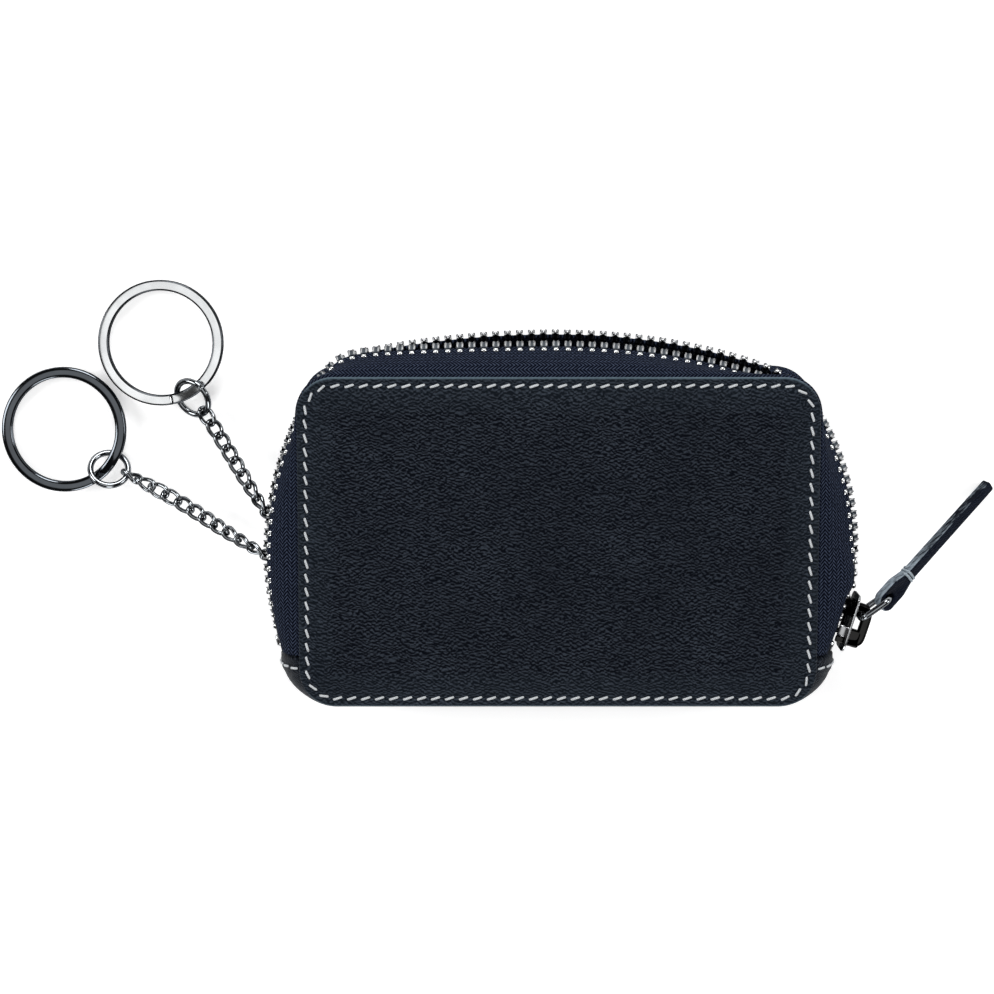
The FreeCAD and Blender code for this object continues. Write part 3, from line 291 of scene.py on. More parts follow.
def smooth_step(part):
    """Zero below zero, one above one, and between them a cubic that is level at both ends."""
    part = np.clip(part, 0.0, 1.0)
    return part * part * (3.0 - 2.0 * part)


def unit(vectors):
    """Vectors divided by their lengths."""
    return vectors / np.linalg.norm(vectors, axis=-1, keepdims=True)


def turned(angle_z):
    """Turn about Z as a matrix that maps local rows to the case: columns are the turned axes."""
    c, s = np.cos(angle_z), np.sin(angle_z)
    return np.array([[c, -s, 0.0], [s, c, 0.0], [0.0, 0.0, 1.0]])


def grid_faces(rows, columns, close_rows=False, close_columns=False):
    """Four-sided faces between neighbours of a grid of points, closed round either way."""
    i = np.arange(rows if close_rows else rows - 1)[:, None]
    j = np.arange(columns if close_columns else columns - 1)[None, :]
    here, there = i * columns, (i + 1) % rows * columns
    k = (j + 1) % columns
    return np.stack([here + j, here + k, there + k, there + j], -1).reshape(-1, 4)


def half_name(front):
    """Name of one of the two halves of the case."""
    return "front" if front else "back"


def run_length(points):
    """Distance run along a line of points."""
    return np.r_[0, np.cumsum(np.linalg.norm(np.diff(points, axis=0), axis=1))]


def sample(wanted, run, values):
    """Values at wanted distances along a run, axis by axis."""
    return np.stack([np.interp(wanted, run, column) for column in values.T], -1)


def cubic(first, second, third, last, steps):
    """Cubic curves from their four control points, one curve for each row."""
    t = np.linspace(0, 1, steps)[None, :, None]
    return (first[:, None] * (1 - t) ** 3 + second[:, None] * 3 * t * (1 - t) ** 2
            + third[:, None] * 3 * t * t * (1 - t) + last[:, None] * t ** 3)


def end_caps(rows, columns):
    """One face over the first ring of points and one over the last."""
    ring = np.arange(columns)
    return [ring[::-1].tolist(), (ring + (rows - 1) * columns).tolist()]


def make_object(name, points, faces, materials, uv=None, face_material=None):
    """A smooth-shaded object at the origin from points, faces and a place on the cloth for every point."""
    mesh = bpy.data.meshes.new(name)
    faces = faces.tolist() if isinstance(faces, np.ndarray) else faces
    mesh.from_pydata(np.asarray(points).reshape(-1, 3).tolist(), [], faces)
    if uv is not None:
        layer = mesh.uv_layers.new(name="UVMap")
        corners = np.empty(len(mesh.loops), dtype=np.int64)
        mesh.loops.foreach_get("vertex_index", corners)
        layer.data.foreach_set("uv", np.asarray(uv, float).reshape(-1, 2)[corners].ravel())
    for material in materials:
        mesh.materials.append(material)
    if face_material is not None:
        mesh.polygons.foreach_set("material_index", np.asarray(face_material, dtype=np.int64))
    mesh.polygons.foreach_set("use_smooth", np.ones(len(mesh.polygons), dtype=bool))
    shell = bmesh.new()
    shell.from_mesh(mesh)
    bmesh.ops.recalc_face_normals(shell, faces=shell.faces)
    shell.to_mesh(mesh)
    shell.free()
    thing = bpy.data.objects.new(name, mesh)
    bpy.context.scene.collection.objects.link(thing)
    return thing


def settle(piece, body, slot, *nodes):
    """Let a piece ride on its body and stand for frame nodes; the slot is not used."""
    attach(piece, body)
    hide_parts(*nodes)


def many(base, faces, spots, frames):
    """Copies of one small shape: every point in every frame, and the faces counted on."""
    points = spots[:, None, :] + np.einsum("kij,nj->kni", frames, base)
    steps = np.arange(len(spots))[:, None] * len(base)
    listed = []
    for sides in sorted({len(face) for face in faces}):
        group = np.array([face for face in faces if len(face) == sides])
        listed += (group[None] + steps[:, :, None]).reshape(-1, sides).tolist()
    return points.reshape(-1, 3), listed


def sweep(path, across, up, section):
    """Rings of points: a flat section carried along a path, drawn in the two given directions."""
    return (path[:, None, :] + across[:, None, :] * section[None, :, :1]
            + up[:, None, :] * section[None, :, 1:])


def circle(radius, sides):
    """Closed section: points at even turns, each the cosine and the sine times the radius."""
    turn = np.arange(sides) / sides * 2 * np.pi
    return radius * np.stack([np.cos(turn), np.sin(turn)], -1)


def fuller(wave, power):
    """A sine or cosine raised to a power with its sign kept: below one, its circle becomes a fuller oval."""
    return np.sign(wave) * np.abs(wave) ** power


def rounded_box(width, height, corner, steps=3):
    """Closed section: a rectangle with round corners, anticlockwise."""
    turn = np.linspace(0, np.pi / 2, steps + 1)
    arc = corner * np.stack([np.cos(turn), np.sin(turn)], -1)
    swap = arc[::-1]
    half = np.array([width / 2 - corner, height / 2 - corner])
    return np.concatenate([half + arc, half * [-1, 1] + swap * [-1, 1], -half - arc,
                           half * [1, -1] + swap * [1, -1]])


def along_path(path, closed):
    """Directions along a path of points."""
    if closed:
        return unit(np.roll(path, -1, 0) - np.roll(path, 1, 0))
    return unit(np.gradient(path, axis=0))


def wire(path, aside, radius, sides, closed=True):
    """Rings of a round wire; aside is any direction off the path at each point."""
    ahead = along_path(path, closed)
    across = unit(aside - (aside * ahead).sum(-1, keepdims=True) * ahead)
    return sweep(path, across, np.cross(ahead, across), circle(radius, sides))


def soft_polygon(corners, spacing, rounds, closed=True):
    """A polygon cut into short even steps and averaged with its neighbours, which rounds its corners."""
    corners = np.asarray(corners, float)
    ends = np.vstack([corners, corners[:1]]) if closed else corners
    run = run_length(ends)
    count = max(8, int(run[-1] / spacing))
    points = sample(np.linspace(0, run[-1], count, endpoint=not closed), run, ends)
    for _ in range(rounds):
        if closed:
            points = (np.roll(points, 1, 0) + 2 * points + np.roll(points, -1, 0)) / 4
        else:
            points[1:-1] = (points[:-2] + 2 * points[1:-1] + points[2:]) / 4
    return points


def box_corners(first, last, near, far):
    """Corners of a rectangle in order, from its ends one way and its sides the other way."""
    return [(first, near), (last, near), (last, far), (first, far)]


def rounded_prism(outline, low, high, rim, steps=3):
    """Rings of a flat piece: its outline drawn in at both faces along a quarter circle of the rim."""
    ahead = unit(np.roll(outline, -1, 0) - np.roll(outline, 1, 0))
    outward = np.stack([ahead[:, 1], -ahead[:, 0]], -1)
    turn = np.linspace(0, np.pi / 2, steps + 1)
    inset, rise = rim * (1 - np.sin(turn)), rim * (1 - np.cos(turn))
    inset = np.r_[inset, inset[::-1]]
    level = np.r_[low + rise, (high - rise)[::-1]]
    flat = outline[None] - outward[None] * inset[:, None, None]
    return np.concatenate([flat, np.broadcast_to(level[:, None, None], flat.shape[:2] + (1,))], -1)


def prism_faces(rings):
    """Faces round every ring of points, and one over each end."""
    rows, columns = rings.shape[:2]
    return grid_faces(rows, columns, close_columns=True).tolist() + end_caps(rows, columns)


def loop_faces(rings):
    """Faces of rings that close on themselves, such as a wire bent to a loop."""
    return grid_faces(*rings.shape[:2], close_rows=True, close_columns=True)


# Plan of the case


def outline_length(half_width, half_length, corner):
    """Length of a rounded rectangle: its four straight runs and a full circle of its corners."""
    return 4 * (half_width + half_length - 2 * corner) + 2 * np.pi * corner


def rounded_outline(distance, half_width, half_length, corner):
    """Points and outward normals of a rounded rectangle at distances along it, anticlockwise from the middle
    of its right side: straight runs follow their heading and corners turn about their centres."""
    across, along, arc = half_width - corner, half_length - corner, corner * np.pi / 2
    runs = np.array([along, arc, 2 * across, arc, 2 * along, arc, 2 * across, arc, along])
    heading = np.pi / 2 * np.array([1, 1, 2, 2, 3, 3, 4, 4, 5])
    is_arc = np.array([0, 1, 0, 1, 0, 1, 0, 1, 0], dtype=bool)
    first = np.array([[half_width, 0], [half_width, along], [across, half_length], [-across, half_length],
                      [-half_width, along], [-half_width, -along], [-across, -half_length],
                      [across, -half_length], [half_width, -along]])
    ends = np.cumsum(runs)
    place = np.mod(distance, ends[-1])
    run = np.minimum(np.searchsorted(ends, place, side="right"), len(runs) - 1)
    done = place - ends[run] + runs[run]
    bent = is_arc[run]
    way = heading[run]
    look = way - np.pi / 2 + np.where(bent, done / corner, 0.0)
    normal = np.stack([np.cos(look), np.sin(look)], -1)
    start = np.stack([np.sin(way), -np.cos(way)], -1)
    ahead = np.stack([np.cos(way), np.sin(way)], -1)
    straight = first[run] + ahead * done[:, None]
    curved = first[run] + corner * (normal - start)
    return np.where(bent[:, None], curved, straight), normal


def panel_size(case):
    """Half width, half length and corner radius of a panel."""
    return case.panel_width / 2, case.panel_length / 2, case.panel_corner


def panel_outline(distance, case):
    """Points and outward normals of a panel's edge at distances along it."""
    return rounded_outline(distance, *panel_size(case))


def left_distance(y, case):
    """Distance along the panel's outline of a place on its left side."""
    across, along = case.panel_width / 2 - case.panel_corner, case.panel_length / 2 - case.panel_corner
    return along + np.pi * case.panel_corner + 2 * across + along - y


def bow_offset(point, normal, front, case, zips):
    """How far a tape's edge stands out: the ray from the outline to the side's circle and to the top's
    circle, and a soft least of the two. The top's circle is flatter over the left half."""
    def reach(x, y, radius):
        start = np.stack([point[:, 0] - x, point[:, 1] - y], -1)
        along = (start * normal).sum(-1)
        inside = along ** 2 - (start ** 2).sum(-1) + radius ** 2
        return np.where(inside < 0, case.panel_width, np.sqrt(np.maximum(inside, 0)) - along)

    half_width, half_length = case.panel_width / 2, case.panel_length / 2
    top_rise = getattr(zips, half_name(front) + "_top_rise")
    left_radius = getattr(zips, half_name(front) + "_left_radius")
    top_radius = np.where(point[:, 0] > 0, zips.top_radius, left_radius)
    right = reach(half_width + zips.right_rise - zips.right_radius, zips.right_y, zips.right_radius)
    left = reach(zips.left_radius - zips.left_rise - half_width, zips.left_y, zips.left_radius)
    top = reach(0.0, half_length + top_rise - top_radius, top_radius)
    side = np.where(point[:, 0] > 0, right, left)
    least = np.minimum(side, top)
    soft = np.exp((least - side) / zips.softness) + np.exp((least - top) / zips.softness)
    return least - zips.softness * np.log(soft)


def right_opening(point, zips):
    """Zero below the slider, one where the right rows stand open above it."""
    below_top = 1 - smooth_step((point[:, 1] - zips.open_top) / zips.open_fade)
    return smooth_step((point[:, 1] - zips.slider_y) / zips.open_run) * (point[:, 0] > 0) * below_top


def at_slider(point, zips):
    """One where the rows run through the slider, zero above it."""
    return smooth_step((zips.slider_y - point[:, 1]) / zips.draw_run) * (point[:, 0] > 0)


def row_shape(point, front, case, zips):
    """Height of a row from the middle of the case and slope of the tape's edge, easing from right to top
    to left by smooth steps."""
    top_gap = getattr(zips, half_name(front) + "_top_gap")
    left_gap = getattr(zips, half_name(front) + "_left_gap")
    along = case.panel_length / 2 - case.panel_corner
    on_top = smooth_step((point[:, 1] - along) / case.panel_corner)
    open_left = smooth_step((point[:, 1] - zips.end_y) / (zips.left_y - zips.end_y))
    is_right = point[:, 0] > 0
    open_right = right_opening(point, zips)
    gap = np.where(is_right, zips.right_gap, zips.left_end_gap + (left_gap - zips.left_end_gap) * open_left)
    slope = zips.end_slope + np.where(is_right, (zips.right_slope - zips.end_slope) * open_right,
                                      (zips.left_slope - zips.end_slope) * open_left)
    return gap + (top_gap - gap) * on_top, slope + (zips.top_slope - slope) * on_top


def seam_height(case):
    """Height of the sewn layer's middle from the middle of the case."""
    return case.case_thick / 2 - case.leather_thick - case.layer_thick / 2


def tape_wall(point, normal, front, case, zips, steps):
    """Centre line across a tape at every station, as offset and height: the sewn flange, then a cubic curve
    from the seam to the row. Also the way past the edge."""
    gap, slope = row_shape(point, front, case, zips)
    drawn = zips.right_draw * right_opening(point, zips) + zips.slider_draw * at_slider(point, zips)
    reach = bow_offset(point, normal, front, case, zips) - drawn
    last = np.stack([reach, gap], -1)
    first = np.broadcast_to([-case.layer_thick, seam_height(case)], last.shape)
    handle = np.linalg.norm(last - first, axis=-1, keepdims=True) * zips.handle_share
    past = np.stack([np.cos(slope), -np.sin(slope)], -1)
    second = first + handle * [np.cos(zips.start_slope), -np.sin(zips.start_slope)]
    third = last - past * handle
    flange = np.broadcast_to([-case.seam_width, seam_height(case)], (len(point), 1, 2))
    return np.concatenate([flange, cubic(first, second, third, last, steps)], 1), past


def lift(point, normal, flat, front, case):
    """Offset and height of the cross-section as places in the case."""
    side = 1.0 if front else -1.0
    plan = point[:, None] + normal[:, None] * flat[..., :1]
    return np.concatenate([plan, case.case_thick / 2 + side * flat[..., 1:]], -1)


def strip_section(curve, half_thick):
    """Closed rings round a centre line: half the thickness to each side and a round tip at the free edge.
    Returns the rings and how far across the strip each point lies."""
    ahead = unit(np.gradient(curve, axis=1))
    aside = np.stack([-ahead[..., 1], ahead[..., 0]], -1) * half_thick[..., None]
    tip = curve[:, -1:] + ahead[:, -1:] * half_thick[..., -1:, None]
    rings = np.concatenate([curve + aside, tip, (curve - aside)[:, ::-1]], 1)
    step = np.linalg.norm(np.diff(curve, axis=1), axis=-1)
    across = np.concatenate([np.zeros((len(curve), 1)), np.cumsum(step, 1)], 1)
    return rings, np.concatenate([across, across[:, -1:], across[:, ::-1]], 1)


# Materials


class Tree:
    """Short way to write a material's nodes."""

    def __init__(self, name):
        self.material = bpy.data.materials.new(name)
        self.material.use_nodes = True
        self.nodes = self.material.node_tree.nodes
        self.links = self.material.node_tree.links
        self.nodes.clear()
        output = self.add("ShaderNodeOutputMaterial")
        self.shader = self.add("ShaderNodeBsdfPrincipled")
        self.links.new(self.shader.outputs[0], output.inputs[0])

    def add(self, kind, **settings):
        node = self.nodes.new(kind)
        for key, value in settings.items():
            setattr(node, key, value)
        return node

    def put(self, value, socket):
        if isinstance(value, bpy.types.NodeSocket):
            self.links.new(value, socket)
        else:
            socket.default_value = value

    def set(self, **values):
        """Give the shader's sockets their numbers or links; an underscore in a name stands for a space."""
        for key, value in values.items():
            self.put(value, self.shader.inputs[key.replace("_", " ")])

    def math(self, operation, first, second=0.0):
        node = self.add("ShaderNodeMath", operation=operation)
        self.put(first, node.inputs[0])
        self.put(second, node.inputs[1])
        return node.outputs[0]

    def plus(self, first, second):
        return self.math("ADD", first, second)

    def times(self, first, second):
        return self.math("MULTIPLY", first, second)

    def larger(self, first, second):
        return self.math("MAXIMUM", first, second)

    def wave(self, place, spacing):
        """Sine wave over a place, one round for every spacing."""
        return self.math("SINE", self.times(place, 2 * np.pi / spacing))

    def parts(self, vector):
        """The three parts of a vector."""
        node = self.add("ShaderNodeSeparateXYZ")
        self.links.new(vector, node.inputs[0])
        return tuple(node.outputs)

    def place(self, source="Object", scale=(1.0, 1.0, 1.0), turn=0.0, kind="POINT"):
        """Coordinates on the object or its cloth, stretched and turned; a texture kind turns first."""
        coordinates = self.add("ShaderNodeTexCoord")
        mapping = self.add("ShaderNodeMapping", vector_type=kind)
        mapping.inputs["Scale"].default_value = scale
        mapping.inputs["Rotation"].default_value = (0.0, 0.0, turn)
        self.links.new(coordinates.outputs[source], mapping.inputs["Vector"])
        return mapping.outputs[0]

    def noise(self, vector, scale, detail=2.0, roughness=0.5):
        """Cloudy pattern from zero to one."""
        node = self.add("ShaderNodeTexNoise")
        self.put(vector, node.inputs["Vector"])
        for key, value in (("Scale", scale), ("Detail", detail), ("Roughness", roughness)):
            node.inputs[key].default_value = value
        return node.outputs["Fac"]

    def cells(self, vector, scale):
        """Distance to the nearest of scattered points, smoothed between cells."""
        node = self.add("ShaderNodeTexVoronoi", feature="SMOOTH_F1")
        self.put(vector, node.inputs["Vector"])
        node.inputs["Scale"].default_value = scale
        return node.outputs["Distance"]

    def ramp(self, value, low, high, start=0.0, end=1.0):
        """A value between low and high, spread evenly from start to end."""
        node = self.add("ShaderNodeMapRange")
        self.put(value, node.inputs["Value"])
        for key, number in (("From Min", low), ("From Max", high), ("To Min", start), ("To Max", end)):
            node.inputs[key].default_value = number
        return node.outputs["Result"]

    def mix(self, factor, first, second):
        """From the first colour at zero to the second at one."""
        node = self.add("ShaderNodeMix", data_type="RGBA")
        self.put(factor, node.inputs["Factor"])
        for value, key in ((first, "A_Color"), (second, "B_Color")):
            socket = next(s for s in node.inputs if s.identifier == key)
            self.put(value if isinstance(value, bpy.types.NodeSocket) else (*value, 1.0), socket)
        return next(s for s in node.outputs if s.identifier == "Result_Color")

    def bump(self, height, strength, distance):
        """Fine relief on the shader's normal."""
        node = self.add("ShaderNodeBump")
        self.put(height, node.inputs["Height"])
        node.inputs["Strength"].default_value = strength
        node.inputs["Distance"].default_value = distance
        self.links.new(node.outputs[0], self.shader.inputs["Normal"])


def scaled(tone, factor):
    """A colour made darker or lighter."""
    return tuple(factor * part for part in tone)


def leather_material(name, dark, light, grain=1.0, rim=None):
    """Fine grained leather: three sets of fine ripples that cross at small angles and break each other up,
    each bent by its own noise, then fine pebbles, and where a rim colour is given a painted highlight at its
    edge."""
    tree = Tree(name)
    x, y, z = tree.parts(tree.place())
    level = tree.plus(y, z)
    ripple = 0.0
    for slant, spacing, seed in ((-0.42, 0.00070, 1.0), (0.03, 0.00078, 1.4), (0.46, 0.00066, 0.7)):
        bend = tree.noise(tree.place(scale=(seed, 1.2 * seed, 1.0)), 300.0 / grain, 3.0, 0.6)
        aside = tree.times(x, np.sin(slant))
        run = tree.plus(aside, tree.times(level, np.cos(slant)))
        phase = tree.plus(tree.times(run, 2 * np.pi / (spacing * grain)), tree.times(bend, 27.0))
        ripple = tree.plus(ripple, tree.math("SINE", phase))
    pebble = tree.ramp(tree.cells(tree.place(scale=(0.8, 1.2, 1.0)), 2600.0 / grain), 0.1, 0.55, 1.0, 0.0)
    broad = tree.noise(tree.place(), 60.0, 2.0, 0.5)
    height = tree.plus(tree.ramp(ripple, -1.7, 1.9, 0.0, 0.82), tree.times(pebble, 0.18))
    tone = tree.times(tree.ramp(height, 0.24, 0.97), tree.ramp(broad, 0.3, 0.7, 0.72, 1.06))
    base = tree.mix(tone, dark, light)
    if rim is not None:
        # the rim colour, a painted highlight: faint within a centimetre of the edge, strong on a thin line
        # at the rounded rim where it faces up or down the plan
        inset, facing, _ = tree.parts(tree.place("UV"))
        cast = tree.ramp(inset, 0.0, 0.010, 0.045, 0.0)
        wear_and_painted_highlight = tree.times(tree.ramp(inset, 0.00008, 0.0004, 0.9, 0.0), facing)
        base = tree.mix(tree.larger(cast, wear_and_painted_highlight), base, rim)
    tree.set(Base_Color=base, Roughness=tree.ramp(broad, 0.3, 0.7, 0.42, 0.52), Specular_IOR_Level=0.04)
    tree.bump(height, 0.8, 0.00020)
    return tree.material


def cut_edge_material(name, pale, dark, heading):
    """Raw cut edge of leather: pale fibres drawn out along the strap, darker scuffs and pits, fewer pale
    fibres towards the far end."""
    tree = Tree(name)
    along = tree.place(scale=(9.0, 1.0, 1.0), turn=heading, kind="TEXTURE")
    fibre = tree.noise(along, 2600.0, 3.0, 0.65)
    scuff = tree.noise(tree.place(scale=(3.0, 1.0, 1.0), turn=heading, kind="TEXTURE"), 420.0, 3.0, 0.6)
    reach = tree.parts(tree.place(turn=heading, kind="TEXTURE"))[0]
    wear_and_painted_highlight = tree.ramp(reach, 0.044, 0.074, 0.13, -0.08)
    tone = tree.plus(tree.times(fibre, 0.6), tree.times(scuff, 0.5))
    tone = tree.ramp(tree.plus(tone, wear_and_painted_highlight), 0.50, 0.74)
    tree.set(Base_Color=tree.mix(tone, dark, pale), Roughness=tree.ramp(fibre, 0.2, 0.8, 0.6, 0.85))
    tree.set(Specular_IOR_Level=0.08)
    tree.bump(fibre, 0.5, 0.0001)
    return tree.material


def tape_material(name, dark, light):
    """Woven zip tape: yarns slant one way in one column and the other way in the next, so they meet in
    zigzags, with a rib along every column."""
    tree = Tree(name)
    column_width, yarn, lean = 0.00092, 0.00074, 1.1
    along, across, _ = tree.parts(tree.place("UV"))
    column = tree.math("DIVIDE", across, column_width)
    odd = tree.math("MODULO", tree.math("FLOOR", column), 2.0)
    sign = tree.math("SUBTRACT", tree.times(odd, 2.0), 1.0)
    slant = tree.times(tree.times(across, sign), lean)
    wave = tree.wave(tree.plus(along, slant), yarn)
    rib = tree.wave(column, 1.0)
    fuzz = tree.noise(tree.place("UV"), 5200.0, 3.0, 0.6)
    height = tree.plus(tree.ramp(wave, -1.0, 1.0, 0.0, 0.8), tree.ramp(rib, -1.0, 1.0, 0.0, 0.25))
    height = tree.plus(height, tree.times(fuzz, 0.3))
    broken = tree.ramp(tree.noise(tree.place("UV"), 1500.0, 2.0, 0.5), 0.3, 0.7, 0.45, 1.3)
    tone = tree.times(tree.ramp(height, 0.62, 1.05), broken)
    tree.set(Base_Color=tree.mix(tone, dark, light), Roughness=tree.ramp(fuzz, 0.2, 0.8, 0.7, 0.9))
    tree.set(Specular_IOR_Level=0.02)
    tree.bump(height, 0.8, 0.00016)
    return tree.material


def thread_material(name, pale, strand):
    """Twisted thread: slanting strands along its length and a little fuzz."""
    tree = Tree(name)
    along, around, _ = tree.parts(tree.place("UV"))
    wave = tree.wave(tree.plus(along, tree.times(around, 1.2)), strand)
    fuzz = tree.noise(tree.place(), 4000.0, 3.0, 0.6)
    tone = tree.ramp(tree.plus(wave, fuzz), -0.6, 1.2)
    tree.set(Base_Color=tree.mix(tone, scaled(pale, 0.62), pale), Sheen_Weight=0.2)
    tree.set(Roughness=tree.ramp(fuzz, 0.2, 0.8, 0.62, 0.85))
    tree.bump(tree.plus(wave, fuzz), 0.5, 0.00006)
    return tree.material


def metal_material(name, tint, rough):
    """Plated metal: even polish broken by faint scratches and cloudy handling marks."""
    tree = Tree(name)
    cloud = tree.noise(tree.place(), 180.0, 3.0, 0.55)
    scratch = tree.noise(tree.place(scale=(1.0, 7.0, 2.5), turn=0.5), 700.0, 4.0, 0.6)
    wear = 0.05
    tree.set(Base_Color=tree.mix(tree.ramp(cloud, 0.35, 0.65), scaled(tint, 0.82), tint), Metallic=1.0)
    tree.set(Roughness=tree.ramp(scratch, 0.3, 0.75, rough, rough + wear))
    # the near-black edge tint darkens every metal's reflection towards its outline: painted shade along the
    # rims
    tree.set(Specular_Tint=(0.02, 0.02, 0.02, 1.0))
    tree.bump(scratch, 0.12, 0.00002)
    return tree.material


def lining_material(name, dark):
    """Plain weave: two sets of fine yarns that pass over each other."""
    tree = Tree(name)
    yarn = 0.0005
    x, y, _ = tree.parts(tree.place())
    weave = tree.times(tree.wave(x, yarn), tree.wave(y, yarn))
    fuzz = tree.noise(tree.place(), 2600.0, 3.0, 0.6)
    height = tree.plus(weave, fuzz)
    tree.set(Base_Color=tree.mix(tree.ramp(height, -0.6, 1.6), dark, scaled(dark, 2.4)))
    tree.set(Roughness=tree.ramp(fuzz, 0.2, 0.8, 0.7, 0.9), Sheen_Weight=0.15)
    tree.bump(height, 0.4, 0.00008)
    return tree.material


def board_material(name, tone):
    """Pressed fibre board: short fibres and specks."""
    tree = Tree(name)
    fibre = tree.noise(tree.place(scale=(1.0, 2.5, 1.0)), 900.0, 4.0, 0.65)
    tree.set(Base_Color=tree.mix(tree.ramp(fibre, 0.35, 0.65), scaled(tone, 0.6), tone))
    tree.set(Roughness=tree.ramp(fibre, 0.2, 0.8, 0.8, 0.95))
    tree.bump(fibre, 0.4, 0.0001)
    return tree.material


MATERIALS = {}


def material(name):
    """One of the case's materials, made the first time it is asked for."""
    tint = bpy.context.scene.key_case_colours
    makers = {
        "navy_leather": lambda: leather_material(name, tint.leather, tint.leather_light),
        "panel_leather_painted_rim": lambda: leather_material(name, tint.leather, tint.leather_light,
                                                  rim=tint.painted_rim_highlight),
        "pull_leather": lambda: leather_material(name, tint.pull, tint.pull_light, 0.8),
        "pull_edge": lambda: cut_edge_material(name, tint.pull_edge, tint.pull, groups()[2].strap_heading),
        "zip_tape": lambda: tape_material(name, tint.tape, tint.tape_light),
        "stitch_thread": lambda: thread_material(name, tuple(tint.thread), 0.0005),
        "binding_thread": lambda: thread_material(name, tuple(tint.binding), 0.0006),
        "zip_nickel": lambda: metal_material(name, tuple(tint.zip_nickel), 0.18),
        "ring_nickel": lambda: metal_material(name, tuple(tint.nickel), 0.10),
        "chain_nickel": lambda: metal_material(name, tuple(tint.chain_nickel), 0.10),
        "painted_shade_nickel": lambda: metal_material(name, tuple(tint.dark_ring), 0.08),
        "painted_dark_rim_nickel": lambda: metal_material(name, tuple(tint.painted_dark_rim_nickel), 0.16),
        "dark_nickel": lambda: metal_material(name, tuple(tint.dark_nickel), 0.09),
        "lining_cloth": lambda: lining_material(name, tuple(tint.lining)),
        "fibre_board": lambda: board_material(name, tuple(tint.board)),
    }
    if name not in MATERIALS:
        MATERIALS[name] = makers[name]()
    return MATERIALS[name]


# Leather panels and their stitching

SHEET_STEP = 0.0008
FINE_RINGS, COARSE_RINGS = (0.0034, 0.00016), (0.0036, 0.0068, 0.0006)
MIDDLE_RINGS, MIDDLE_INSET, MIDDLE_SHARE = 26, 0.02, 0.02
TURNED_UNDER, EDGE_BREAK, RIM_HIGHLIGHT_FADE = 0.003, 0.00015, 8
PRESS_WIDTH, PILLOW_START, PILLOW_RUN = 0.00036, 0.0003, 0.0028
SWELL, SWELL_START, SWELL_RUN = 0.00012, 0.002, 0.006
# waves of the swell: radians for each metre across and along the plan, starting angle and share
SWELL_WAVES = ((95, 40, 0.6, 1.0), (60, -130, 2.1, 1.0), (210, 170, 0.0, 0.5), (30, 260, 1.0, 0.5))
STITCH_RISE, STITCH_DIP, STITCH_FULL, STITCH_THIN, STITCH_FLAT = 0.34, 0.8, 1.02, 0.55, 0.8


def sheet_points(case, profile, inner_rings):
    """Rings of a flat sheet: the panel's outline moved in and up along a profile of inset and height, then
    drawn together towards the middle."""
    whole = outline_length(*panel_size(case))
    count = int(whole / SHEET_STEP)
    point, normal = panel_outline(np.arange(count) / count * whole, case)
    flat = point[None] - normal[None] * profile[:, :1, None]
    rings = np.concatenate([flat, np.broadcast_to(profile[:, 1:, None], flat.shape[:2] + (1,))], -1)
    shrink = np.linspace(1, MIDDLE_SHARE, inner_rings + 1)[1:, None, None]
    inner = rings[-1:] * np.concatenate([np.broadcast_to(shrink, (inner_rings, 1, 2)),
                                         np.ones((inner_rings, 1, 1))], -1)
    return np.concatenate([rings, inner])


def uneven(points, amount):
    """Slow swells of worn leather: a sum of a few slanting waves over the plan."""
    x, y = points[..., 0], points[..., 1]
    swell = sum(part * np.sin(across * x + along * y + start) for across, along, start, part in SWELL_WAVES)
    return amount * swell / 3


def make_panel(front, case):
    """Turned-edge leather: a round rim, a pressed stitch line and a slightly raised middle."""
    thick, rim = case.leather_thick, case.rim_round
    turn = np.linspace(0, np.pi / 2, 7)
    inset = rim * (1 - np.cos(turn))
    height = thick - rim + rim * np.sin(turn)
    inner = np.r_[np.arange(rim, *FINE_RINGS)[1:], np.arange(*COARSE_RINGS)]
    press = case.groove * np.exp(-((inner - case.stitch_inset) / PRESS_WIDTH) ** 2)
    pillow = case.pillow if front else 0.0
    rise = pillow * smooth_step((inner - case.stitch_inset - PILLOW_START) / PILLOW_RUN)
    edge = [[TURNED_UNDER, 0.0], [EDGE_BREAK, 0.0], [0.0, EDGE_BREAK]]
    top = np.stack([np.r_[inset, inner], np.r_[height, thick - press + rise]], -1)
    profile = np.concatenate([edge, top])
    rings = sheet_points(case, profile, MIDDLE_RINGS)
    inset = np.r_[profile[:, 0], np.full(MIDDLE_RINGS, MIDDLE_INSET)]
    depth = smooth_step((inset - SWELL_START) / SWELL_RUN)
    if front:
        rings[..., 2] += uneven(rings, SWELL) * depth[:, None] * (rings[..., 2] > thick / 2)
        rings[..., 2] += case.case_thick - thick
    else:
        rings[..., 2] = thick - rings[..., 2]
    # how far the rim faces up or down the plan, for the painted highlight line along the long edges
    facing = np.abs(rings[3, :, 1]) / (case.panel_length / 2)
    level = np.clip(facing * RIM_HIGHLIGHT_FADE - (RIM_HIGHLIGHT_FADE - 1), 0, 1)
    place = np.stack(np.broadcast_arrays(inset[:, None], level[None]), -1)
    half = half_name(front)
    panel = make_object(half + "_leather", rings, prism_faces(rings), [material("panel_leather_painted_rim")], place)
    settle(panel, "case_" + half, "navy_leather", half + "_panel")


